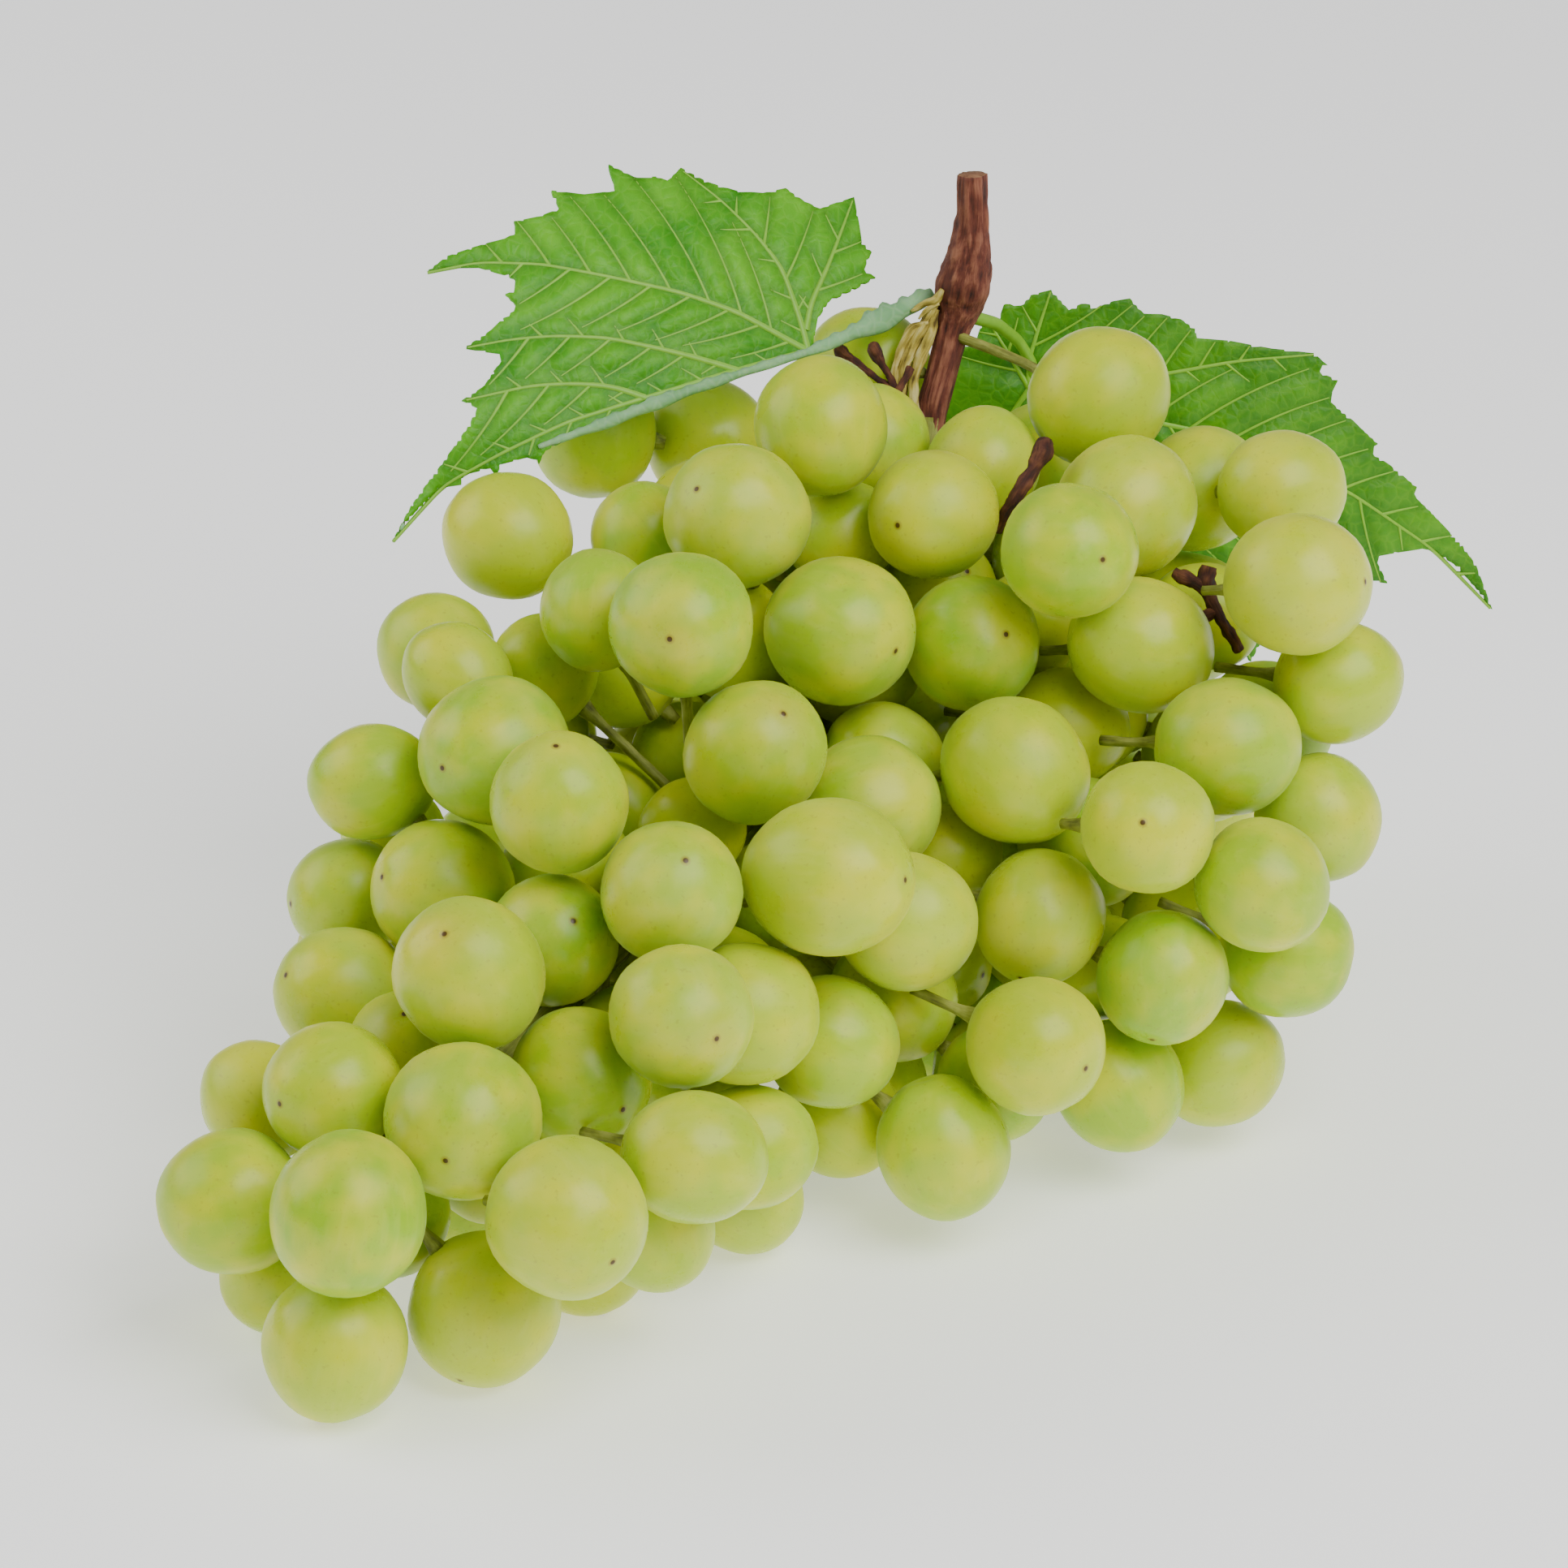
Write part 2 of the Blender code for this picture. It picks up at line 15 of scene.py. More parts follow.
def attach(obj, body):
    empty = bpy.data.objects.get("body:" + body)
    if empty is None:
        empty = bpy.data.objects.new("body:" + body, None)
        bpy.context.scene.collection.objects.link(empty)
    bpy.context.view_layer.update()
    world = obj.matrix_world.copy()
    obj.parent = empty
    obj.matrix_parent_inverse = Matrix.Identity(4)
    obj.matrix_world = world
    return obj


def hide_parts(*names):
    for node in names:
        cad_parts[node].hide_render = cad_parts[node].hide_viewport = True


bl_info = {
    "name": "Bunch of white grapes",
    "version": (1, 0, 0),
    "blender": (4, 5, 0),
    "location": "3D View > Sidebar > Grapes",
    "description": "Models the berries, leaves and cane of a bunch of white grapes",
    "category": "Object",
}

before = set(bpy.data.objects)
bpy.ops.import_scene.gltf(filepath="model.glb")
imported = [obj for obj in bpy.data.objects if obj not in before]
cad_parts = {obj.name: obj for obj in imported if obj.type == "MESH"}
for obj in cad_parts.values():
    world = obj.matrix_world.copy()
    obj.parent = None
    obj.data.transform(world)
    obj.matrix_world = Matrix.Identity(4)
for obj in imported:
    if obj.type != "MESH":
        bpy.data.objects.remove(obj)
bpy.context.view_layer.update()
MM = 0.001

# The bunch is drawn on a plane that leans back by the eye's elevation, through this point of the frame, in
# millimetres.
EYE_ELEVATION = math.radians(25)
EYE_DISTANCE = 1200.0
VIEW_HALF_WIDTH = 115.0
DRAWING_CENTRE = np.array([-11.7, 12.4, 49.6])
RIGHT = np.array([1.0, 0.0, 0.0])
UP = np.array([0.0, math.sin(EYE_ELEVATION), math.cos(EYE_ELEVATION)])
AWAY = np.array([0.0, math.cos(EYE_ELEVATION), -math.sin(EYE_ELEVATION)])

# The rachis: point and radius in millimetres, from the cane's cut end to the bunch's tip. Its points are
# counted from this far below the drawing's centre.
RACHIS_BELOW = (0, 0, 49.7)
RACHIS = [
    (np.array(point) + DRAWING_CENTRE - RACHIS_BELOW, radius)
    for point, radius in (
        ((27.7, 68, 119.5), 2.1), ((27.4, 67, 110), 2.3), ((27, 66, 98.5), 3.3), ((22.5, 62, 90), 2.9),
        ((19, 56, 79.5), 2.7), ((16, 42, 64), 2.4), ((6, 20, 52), 2.2), ((-12, -16, 43), 1.9),
        ((-34, -50, 36), 1.6), ((-56, -84, 29), 1.2),
    )
]


# ---------------------------------------------------------------- helpers


def sight(across, up, depth):
    """The points that lie depth behind the drawing plane, on the lines of sight through across and up."""
    across, up, depth = (np.atleast_1d(np.asarray(v, float)) for v in (across, up, depth))
    drawn = across[:, None] * RIGHT + up[:, None] * UP
    return DRAWING_CENTRE + drawn * (1 + depth[:, None] / EYE_DISTANCE) + depth[:, None] * AWAY


def linear(hexes):
    """Turns an sRGB hex colour into Blender's linear colour, opaque."""
    values = [int(hexes[i : i + 2], 16) / 255 for i in (1, 3, 5)]
    return (*(v / 12.92 if v <= 0.04045 else ((v + 0.055) / 1.055) ** 2.4 for v in values), 1.0)


def node(tree, kind, settings=None, links=None, values=None):
    """Adds a node with its settings, links into it and plain values."""
    made = tree.nodes.new(kind)
    for name, value in (settings or {}).items():
        setattr(made, name, value)
    connect(tree, made, links or {}, values or {})
    return made


def connect(tree, made, links, values):
    """Links sockets into a node's inputs, and sets plain values on its other inputs."""
    for key, value in values.items():
        made.inputs[key].default_value = value
    for key, socket in links.items():
        tree.links.new(socket, made.inputs[key])


def start_material(name):
    """A new material, its node tree and its shader."""
    made = bpy.data.materials.new(name)
    made.use_nodes = True
    return made, made.node_tree, made.node_tree.nodes["Principled BSDF"]


def pick_nothing():
    """Leaves edit mode and deselects everything."""
    if bpy.context.object and bpy.context.object.mode != "OBJECT":
        bpy.ops.object.mode_set(mode="OBJECT")
    bpy.ops.object.select_all(action="DESELECT")


def pick(*chosen):
    """Selects these objects alone, with the first one active."""
    pick_nothing()
    for one in chosen:
        one.select_set(True)
    bpy.context.view_layer.objects.active = chosen[0]


def join(*parts):
    """Joins the parts into the first one."""
    pick(*parts)
    if len(parts) > 1:
        bpy.ops.object.join()
    return bpy.context.object


def grid_sheet(name, columns, rows):
    """A flat sheet of faces, and its vertices' places on it, from 0 to 1 both ways."""
    pick_nothing()
    bpy.ops.mesh.primitive_grid_add(x_subdivisions=columns, y_subdivisions=rows, size=1)
    sheet = bpy.context.object
    sheet.name = name
    return sheet, vertices_of(sheet.data)[:, :2] + 0.5


def vertices_of(mesh):
    """The mesh's vertices as rows of x, y and z."""
    flat = np.empty(len(mesh.vertices) * 3)
    mesh.vertices.foreach_get("co", flat)
    return flat.reshape(-1, 3)


def move_vertices(mesh, places):
    """Puts the mesh's vertices at places given in millimetres."""
    mesh.vertices.foreach_set("co", (places * MM).ravel())


def remember(mesh, label, values):
    """Stores a number, a vector or a colour for each vertex, for a material to read."""
    kind, key = {1: ("FLOAT", "value"), 3: ("FLOAT_VECTOR", "vector"), 4: ("FLOAT_COLOR", "color")}[
        values.size // len(mesh.vertices)
    ]
    mesh.attributes.new(label, kind, "POINT").data.foreach_set(key, values.ravel())


def weld(piece, gap):
    """Merges vertices closer than gap, and turns the faces outwards."""
    pick(piece)
    bpy.ops.object.mode_set(mode="EDIT")
    bpy.ops.mesh.select_all(action="SELECT")
    bpy.ops.mesh.remove_doubles(threshold=gap)
    bpy.ops.mesh.normals_make_consistent(inside=False)
    bpy.ops.object.mode_set(mode="OBJECT")


def thicken(sheet, thickness, back_material=0):
    """Gives a sheet its thickness, half on each side. The back's material is that many slots further on."""
    pick(sheet)
    solidify = sheet.modifiers.new("thickness", "SOLIDIFY")
    solidify.thickness = thickness
    solidify.offset = 0
    solidify.material_offset = back_material
    bpy.ops.object.modifier_apply(modifier="thickness")
    bpy.ops.object.shade_smooth()


def finish_piece(piece, nodes):
    """Puts the piece's place into its mesh, hangs it from the root body, and hides the frame's parts that it
    stands for.
    """
    pick(piece)
    bpy.ops.object.transform_apply(location=True, rotation=True, scale=True)
    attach(piece, "root")
    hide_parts(*nodes)


# ---------------------------------------------------------------- berries


# How a sprig's faces are sorted into berries, in millimetres. Each face votes for the middle of its berry.
SMALLEST_FACE = 2
USUAL_RADIUS = 9
VOTE_REACH = 2.6
FEWEST_FACES = 20
FEWEST_VOTES = 18
OWN_REACH = 4.2
CLEARED_REACH = 5.5
# How an oval is fitted through the corners of one berry's faces.
FIT_ROUNDS = 3
FIT_MISS = 0.01
FIT_CORNERS = 14


class GrapeSettings(bpy.types.PropertyGroup):
    segments: IntProperty(name="Segments", description="Faces round a berry", default=36, min=12)
    rings: IntProperty(name="Rings", description="Faces from end to end of a berry", default=24, min=8)
    unevenness: FloatProperty(
        name="Unevenness", description="How far a berry strays from an oval, of its width", default=0.016
    )
    scar_width: FloatProperty(
        name="Scar", description="Width of the brown scar on a berry", default=0.75 * MM, unit="LENGTH"
    )
    seed: IntProperty(name="Seed", description="Changes each berry's small differences", default=11)


def nearest_on_rachis(point):
    """The spot on the rachis that is nearest to a point."""
    best, best_distance = None, math.inf
    for (a, _), (b, _) in zip(RACHIS, RACHIS[1:]):
        along = min(max((point - a) @ (b - a) / ((b - a) @ (b - a)), 0), 1)
        on_line = a + along * (b - a)
        distance = np.linalg.norm(point - on_line)
        if distance < best_distance:
            best, best_distance = on_line, distance
    return best


def fit_oval(points, seed):
    """The oval through some corners, as quadratic terms round seed. Corners that are off it are dropped."""
    for _ in range(FIT_ROUNDS):
        x, y, z = (points - seed).T
        terms = np.stack([x * x, y * y, z * z, 2 * x * y, 2 * x * z, 2 * y * z, 2 * x, 2 * y, 2 * z], 1) / 100
        fit = np.linalg.lstsq(terms, np.ones(len(terms)), rcond=None)[0] / 100
        miss = np.abs(terms @ fit * 100 - 1)
        if miss.max() < FIT_MISS or len(points) < FIT_CORNERS:
            break
        points = points[miss <= max(FIT_MISS, np.quantile(miss, 0.85))]
    return fit


def berries_in(solid):
    """The centre, half width, half length and length direction, in millimetres, of a solid's ovals.

    A face's normal, stepped back by about a berry's radius, lands near the middle of its own berry.
    """
    faces = [
        (np.array(p.center) / MM, np.array(p.normal), list(p.vertices))
        for p in solid.data.polygons
        if p.area / MM**2 > SMALLEST_FACE
    ]
    inner = np.array([centre - USUAL_RADIUS * normal for centre, normal, _ in faces])
    left = np.ones(len(faces), bool)
    found = []
    while left.sum() > FEWEST_FACES:
        votes = [(np.linalg.norm(inner[left] - p, axis=1) < VOTE_REACH).sum() for p in inner[left]]
        if max(votes) < FEWEST_VOTES:
            break
        seed = inner[left][int(np.argmax(votes))]
        near = left & (np.linalg.norm(inner - seed, axis=1) < OWN_REACH)
        points = [solid.data.vertices[v].co / MM for k in np.flatnonzero(near) for v in faces[k][2]]
        fit = fit_oval(np.unique(np.array(points, float).round(3), axis=0), seed)
        form = np.array([[fit[0], fit[3], fit[4]], [fit[3], fit[1], fit[5]], [fit[4], fit[5], fit[2]]])
        middle = -np.linalg.solve(form, fit[6:])
        size, ways = np.linalg.eigh(form / (1 + middle @ form @ middle))
        halves = 1 / np.sqrt(np.maximum(size, 1e-6))
        way = ways[:, 0]
        middle = middle + seed
        if way @ (middle - nearest_on_rachis(middle)) < 0:
            way = -way
        found.append((middle, float(halves[1:].mean()), float(halves[0]), way))
        left &= np.linalg.norm(inner - seed, axis=1) > CLEARED_REACH
    return found


def sprig_names():
    """The names of the frame's sprigs, in order."""
    return sorted(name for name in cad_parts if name.startswith("sprig_"))


def grape_skin():
    """White grape skin, thin and waxy: yellow-green flesh glows through, and pale bloom blurs its shine."""
    made, tree, shader = start_material("white_grape_skin_with_bloom")
    tint = node(tree, "ShaderNodeAttribute", {"attribute_name": "berry_tint"})
    part = node(tree, "ShaderNodeSeparateColor", links={"Color": tint.outputs["Color"]})
    own = node(tree, "ShaderNodeAttribute", {"attribute_name": "berry_way"})
    scar = node(tree, "ShaderNodeAttribute", {"attribute_name": "scar_widths_away"}).outputs["Fac"]
    place = node(tree, "ShaderNodeTexCoord").outputs["Object"]
    # Squashed, so that the strands under the skin run from end to end.
    squash = {1: (5.5, 5.5, 0.9)}
    ways = node(tree, "ShaderNodeVectorMath", {"operation": "MULTIPLY"}, {0: own.outputs["Vector"]}, squash)
    mottle_and_painted_glow, strand, wax, speck, fine = (
        node(tree, "ShaderNodeTexNoise", links={"Vector": vector}, values=values).outputs["Fac"]
        for vector, values in (
            (place, {"Scale": 110.0, "Detail": 2.0}),
            (ways.outputs["Vector"], {"Scale": 1.6, "Detail": 2.5, "Distortion": 0.3}),
            (place, {"Scale": 120.0, "Detail": 6.0, "Roughness": 0.62}),
            (place, {"Scale": 1500.0, "Detail": 1.0}),
            (place, {"Scale": 700.0, "Detail": 4.0}),
        )
    )
    # Flesh: from amber-yellow to cool green, one tint for each berry.
    flesh = {"A": linear("#CBD600"), "B": linear("#96C400")}
    skin = node(tree, "ShaderNodeMix", {"data_type": "RGBA"}, {"Factor": part.outputs["Red"]}, flesh)
    # Layers on the flesh: a pattern, the values where it starts and ends, how far the layer covers at each,
    # what else thins the layer, and its colour.
    for pattern, start, end, first, last, thinner, colour in (
        (mottle_and_painted_glow, 0.42, 0.66, 0.0, 0.7, None, "#DCDC00"),  # yellower patches, about 9 mm wide: the flesh's own mottling, and partly a painted glow of light through the flesh
        (strand, 0.5, 0.72, 0.0, 0.12, None, "#E4E46A"),  # pale strands from end to end
        (scar, 0.0, 9.0, 1.0, 0.0, part.outputs["Blue"], "#D8B84A"),  # an amber blush, on a few berries
        (wax, 0.36, 0.68, 0.0, 1.0, part.outputs["Green"], "#DCE690"),  # bloom, rubbed off in places
        (speck, 0.64, 0.76, 0.0, 0.25, None, "#8B8B3A"),  # lenticels, about a third of a millimetre
        (scar, 0.75, 1.15, 0.55, 0.0, None, "#A08A3A"),  # a thin tan ring round the scar
        (scar, 0.45, 0.62, 0.95, 0.0, None, "#4A2E12"),  # the scar itself, a dark brown dot
    ):
        limits = {"From Min": start, "From Max": end, "To Min": first, "To Max": last}
        cover = node(tree, "ShaderNodeMapRange", links={"Value": pattern}, values=limits).outputs["Result"]
        if thinner is not None:
            thinned = node(tree, "ShaderNodeMath", {"operation": "MULTIPLY"}, {0: cover, 1: thinner})
            cover = thinned.outputs["Value"]
        sockets = {"Factor": cover, "A": skin.outputs["Result"]}
        skin = node(tree, "ShaderNodeMix", {"data_type": "RGBA"}, sockets, {"B": linear(colour)})
    # The wax dulls the shine where it is thick.
    limits = {"From Min": 0.36, "From Max": 0.68, "To Min": 0.26, "To Max": 0.44}
    dull = node(tree, "ShaderNodeMapRange", links={"Value": wax}, values=limits)
    relief = {"Strength": 0.10, "Distance": 0.2 * MM}
    bump = node(tree, "ShaderNodeBump", links={"Height": fine}, values=relief)
    links = {"Base Color": skin.outputs["Result"], "Roughness": dull.outputs["Result"]}
    links["Normal"] = bump.outputs["Normal"]
    glow = {"Subsurface Weight": 0.4, "Subsurface Radius": (1.0, 0.85, 0.1), "Subsurface Scale": 4 * MM}
    connect(tree, shader, links, {"IOR": 1.42, "Sheen Weight": 0.08, "Sheen Roughness": 0.35, **glow})
    return made


def master_berry(settings):
    """One berry a unit wide, with its scar up and its stem end down."""
    pick_nothing()
    bpy.ops.mesh.primitive_uv_sphere_add(segments=settings.segments, ring_count=settings.rings, radius=0.5)
    berry = bpy.context.object
    berry.name = "master_berry"
    bpy.ops.object.mode_set(mode="EDIT")
    for sign in (1, -1):  # the scar end and the stem end get two finer rings
        bpy.ops.mesh.select_all(action="DESELECT")
        form = bmesh.from_edit_mesh(berry.data)
        form.faces.ensure_lookup_table()
        for face in form.faces:
            if len(face.verts) == 3 and face.calc_center_median().z * sign > 0:
                face.select = True
        form.select_flush(True)
        bmesh.update_edit_mesh(berry.data)
        for inset in (0.028, 0.014):
            bpy.ops.mesh.inset(thickness=inset, use_boundary=True)
    bpy.ops.object.mode_set(mode="OBJECT")
    for v in berry.data.vertices:
        off_axis = math.hypot(v.co.x, v.co.y)
        if v.co.z > 0.4:  # the scar sits on a tiny button in a shallow dimple
            dimple = 0.010 * math.exp(-((off_axis / 0.09) ** 2))
            v.co.z -= dimple - 0.008 * math.exp(-((off_axis / 0.022) ** 2))
        if v.co.z < -0.4:  # the stem end is drawn in round the stalk
            v.co.z += 0.020 * math.exp(-((off_axis / 0.10) ** 2))
    bpy.ops.object.shade_smooth()
    return berry


def place_berry(master, name, oval, settings, rng):
    """A copy of the master berry, at its oval's place and with its own small differences."""
    middle, half_width, half_length, way = oval
    mesh = master.data.copy()
    berry = bpy.data.objects.new(name, mesh)
    bpy.context.scene.collection.objects.link(berry)
    turn = Vector(way).to_track_quat("Z", "Y").to_matrix() @ Matrix.Rotation(rng.uniform(0, 6.28), 3, "Z")
    drift = Vector(rng.uniform(-50, 50, 3))
    unit = vertices_of(mesh)
    ways = unit / np.linalg.norm(unit, axis=1)[:, None]
    swell = np.array([
        noise.noise(Vector(w) * 1.3 + drift)
        + 0.25 * noise.noise(Vector((4 * w[0], 4 * w[1], 1.5 * w[2])) + drift)
        for w in ways
    ])
    swell *= settings.unevenness * 2
    lean = 1 + 0.03 * rng.uniform(-1, 1) * ways[:, 2]  # a berry is a little fuller at one end
    shaped = unit * (1 + swell - settings.unevenness)[:, None]
    shaped[:, :2] *= lean[:, None] * 2 * half_width
    shaped[:, 2] *= 2 * half_length
    move_vertices(mesh, shaped @ np.array(turn).T + middle)
    from_scar = np.arccos(np.clip(ways[:, 2], -1, 1)) * half_width
    remember(mesh, "berry_way", ways + rng.uniform(-20, 20, 3))
    remember(mesh, "scar_widths_away", from_scar / (settings.scar_width / MM))
    # The tint from yellow to green, the share of bloom, and the blush, which one berry in eight has.
    shade = (rng.beta(2, 2), rng.uniform(0.02, 0.18), 0.35 * (rng.random() < 0.12), 1.0)
    remember(mesh, "berry_tint", np.tile(shade, len(mesh.vertices)))
    return berry


class GRAPES_OT_berries(bpy.types.Operator):
    """Makes each sprig's berries in place of its faceted ovals"""

    bl_idname = "grapes.berries"
    bl_label = "Berries"

    def execute(self, context):
        settings = context.scene.grape_settings
        rng = np.random.default_rng(settings.seed)
        skin = grape_skin()
        master = master_berry(settings)
        for name in sprig_names():
            ovals = berries_in(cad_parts[name])
            if not ovals:
                raise RuntimeError(f"no berry found in {name}")
            berries = (place_berry(master, f"{name}_berry", oval, settings, rng) for oval in ovals)
            sprig = join(*berries)
            sprig.name = name.replace("sprig", "berries")
            sprig.data.materials.clear()
            sprig.data.materials.append(skin)
            finish_piece(sprig, [name])
        bpy.data.objects.remove(master, do_unlink=True)
        return {"FINISHED"}


# ---------------------------------------------------------------- leaves

# Outlines and veins are drawn in millimetres, across and up. An outline runs from tooth to notch to tooth.
LEFT_LEAF = dict(
    outline=(
        (4.3, 64.6), (4.9, 68.1), (6.7, 70.8), (10.5, 72.6), (13.4, 74.2), (11.7, 75.4), (12.8, 77.9),
        (11.3, 79.6), (10.9, 82.6), (10.2, 86), (7.6, 85.2), (5.2, 84.3), (2.6, 85.6), (0.2, 87.3),
        (-3.2, 86.6), (-6.9, 86.9), (-11.2, 88.2), (-15.2, 90.3), (-17.2, 88.4), (-18.8, 89), (-22, 88.9),
        (-26, 90.9), (-25.2, 88.6), (-24.8, 86.9), (-29.3, 86.4), (-34.4, 87), (-33.4, 85.3), (-33, 84.3),
        (-36.3, 83.1), (-39.9, 82.4), (-38.7, 81.2), (-41, 79.9), (-43.1, 79.4), (-46.4, 78.4),
        (-49.4, 77.4), (-53, 74.7), (-49.2, 75.7), (-44.8, 75.8), (-41, 74.7), (-38.3, 73.3), (-40.9, 71.8),
        (-39, 69.8), (-41.2, 68.3), (-43, 66.6), (-47, 63.9), (-43.4, 63.4), (-40.7, 63), (-42.6, 60.6),
        (-44, 58.4), (-47.3, 56.2), (-45, 55.2), (-46.4, 52.4), (-48.4, 49.5), (-51.4, 45.4), (-54.7, 40.8),
        (-57.8, 35), (-54.2, 39.8), (-50.2, 43.4), (-47.4, 43.9), (-46.9, 45.3), (-43.1, 46.3),
        (-42.3, 45.2), (-41.2, 47), (-37.2, 48), (-36, 46.9), (-35, 48.9), (-30.6, 51), (-27, 52),
        (-24.1, 53.4), (-17.6, 55.9), (-9.3, 58.9), (-2.8, 60.9), (3.4, 62.9),
    ),
    middle=(-18, 69), depth=(20, 0.38, 0.45, 5), cup=-2.0, ripple=2.6,
    veins=(
        ((3.4, 63.4), (-6.9, 69.1), (-15.2, 72), (-25.9, 74.4), (-35.4, 76.2), (-44.8, 76.5), (-52.3, 75)),
        ((3.4, 63.4), (2.4, 67.5), (-0.4, 75.6), (-4.6, 81), (-9.3, 85.6), (-14.8, 89.8)),
        ((3.1, 66.5), (3.8, 70.5), (6.1, 75.2), (8.5, 81.4), (10, 85.5)),
        ((-7, 60.6), (-12.5, 62.3), (-17.6, 63.6), (-25.9, 65.4), (-33.6, 65.7), (-40, 65.2), (-46.4, 64)),
        ((-20.5, 56.6), (-25, 58.2), (-30.6, 58.7), (-37.1, 58.4), (-46.6, 56.3)),
        ((3.4, 63.4), (-7, 60.6), (-20.5, 56.6), (-32, 53), (-41.3, 48.6), (-50, 43.8), (-57.3, 35.6)),
    ),
    branches=((1, 1), (1, 1), (1, 1), (1, 0.6), (0.8, 0.8), (0.8, 0.5)),
    lip=(
        (-36, 49.4, 0.3), (-30.5, 51.4, 0.9), (-26, 53, 1.2), (-20, 55.4, 1.5), (-13, 58, 1.2),
        (-7, 60, 0.9), (-1.5, 61.8, 0.8), (3.4, 63.3, 0.9), (7.5, 65, 1.4), (11.5, 66.8, 2.4),
        (15.5, 68.7, 3.1), (18.8, 70.4, 2.6), (21.8, 72, 1.2),
    ),
)
RIGHT_LEAF = dict(
    outline=(
        (22.5, 56), (25.1, 64.4), (27.8, 64.2), (29.5, 68.9), (31.4, 67.9), (32.4, 70.8), (34.4, 69.8),
        (36.2, 71.7), (39.2, 72.5), (40.6, 70.9), (41.8, 69.5), (44.2, 70.8), (45.6, 69.8), (48.2, 70.8),
        (50.8, 71.2), (52.8, 69), (55.5, 68.9), (58.2, 68.2), (60.3, 66.8), (60.6, 65.4), (65.5, 65),
        (71.6, 63.8), (77.7, 63.2), (79.8, 61.4), (75.9, 61.5), (78.6, 60.5), (81.2, 59.2), (80.4, 57.6),
        (80.2, 56), (83.6, 53.2), (87.1, 49.9), (85.5, 49), (89, 46.7), (92.8, 43.6), (92.3, 42.3),
        (94.9, 39.9), (97.1, 37.5), (99.6, 34.9), (101.6, 31.9), (104, 25.3), (101.6, 28.6), (98.2, 32.4),
        (94.1, 34.6), (90, 34), (86.6, 33.4), (88.5, 29.5), (84, 30), (80.5, 27.2), (80, 23.2),
        (75.5, 24.4), (70.8, 22.4), (68.5, 18), (64.4, 20.3), (59.4, 19.2), (55, 14.5), (52, 18.2),
        (47.2, 19.2), (41.4, 17), (41.8, 22), (37, 23.6), (31.6, 23), (33.6, 28), (28.8, 30.4),
        (24.6, 30.8), (27.6, 35.8), (23.4, 40), (19.8, 41.6), (23, 45.8), (20.8, 50.6), (18.6, 54),
    ),
    middle=(50, 50), depth=(63, 0.02, -0.3, 7), cup=1.8, ripple=1.0,
    veins=(
        ((36, 58), (47, 54.5), (60, 52), (72, 48), (83.3, 42.6), (95, 34.6), (103.6, 25.8)),
        ((36, 58), (44, 58.5), (56.1, 60.2), (66, 62), (77.7, 63)),
        ((36, 58), (35.8, 62), (37.4, 67), (39.1, 72.2)),
        ((36, 58), (33, 63), (29.7, 68.4)),
        ((36, 58), (44, 48), (54, 40), (62, 31), (68.4, 18.4)),
        ((36, 58), (38, 46), (40, 34), (41.5, 17.5)),
        ((36, 58), (29, 48), (24.9, 31.2)),
    ),
    branches=((1, 1), (1, 1), (1, 1), (1, 1), (1, 1), (1, 1), (1, 1)),
    lip=(),
)
# The stalk of the leaf on the right: across, up and depth.
PETIOLE = ((36, 58, 64.5), (36.6, 61.5, 62), (34.4, 65, 58), (31, 67.6, 49), (27.2, 68.6, 42))
# How a side vein leaves its main vein, and how near it comes to another vein, in millimetres.
SIDE_VEIN_TURN = math.radians(50)
SIDE_VEIN_STEP = 0.9
SIDE_VEIN_STEPS = 60
SIDE_VEIN_BEND = 0.022  # it turns towards the main vein's tip
VEIN_CLEARANCE = 1.1
LIP_ROWS = 9


class LeafSettings(bpy.types.PropertyGroup):
    step: FloatProperty(name="Step", description="Size of the blade's faces", default=0.7 * MM, unit="LENGTH")
    thickness: FloatProperty(
        name="Thickness", description="Thickness of the blade", default=0.45 * MM, unit="LENGTH"
    )
    quilting: FloatProperty(
        name="Quilting", description="How far it swells between its veins", default=1.3 * MM, unit="LENGTH"
    )
    branch_gap: FloatProperty(
        name="Side veins", description="Distance between side veins", default=6.2 * MM, unit="LENGTH"
    )


def resample(points, step):
    """Points a step apart along a polyline, smoothed a little."""
    points = np.array(points, float)
    along = np.r_[0, np.cumsum(np.linalg.norm(np.diff(points, axis=0), axis=1))]
    count = max(int(along[-1] / step), 2)
    t = np.linspace(0, along[-1], count + 1)
    made = np.stack([np.interp(t, along, points[:, k]) for k in range(points.shape[1])], 1)
    for _ in range(3):
        made[1:-1] = (made[:-2] + 2 * made[1:-1] + made[2:]) / 4
    return made


def inside_outline(points, outline):
    """Whether each point is inside a closed outline."""
    x, y = np.asarray(points, float).T
    hit = np.zeros(len(x), bool)
    ring = np.array(outline, float)
    for (ax, ay), (bx, by) in zip(ring, np.roll(ring, -1, axis=0)):
        cross = (ay > y) != (by > y)
        with np.errstate(divide="ignore", invalid="ignore"):
            hit ^= cross & (x < (bx - ax) * (y - ay) / (by - ay) + ax)
    return hit


def nearest_on_lines(points, lines):
    """Distance from each point to the nearest of some polylines, and the nearest spot."""
    best, spots = np.full(len(points), math.inf), np.array(points, float)
    for line in lines:
        for a, b in zip(line, line[1:]):
            along = np.clip((points - a) @ (b - a) / max((b - a) @ (b - a), 1e-9), 0, 1)
            spot = a + along[:, None] * (b - a)
            distance = np.linalg.norm(points - spot, axis=1)
            nearer = distance < best
            best[nearer], spots[nearer] = distance[nearer], spot[nearer]
    return best, spots


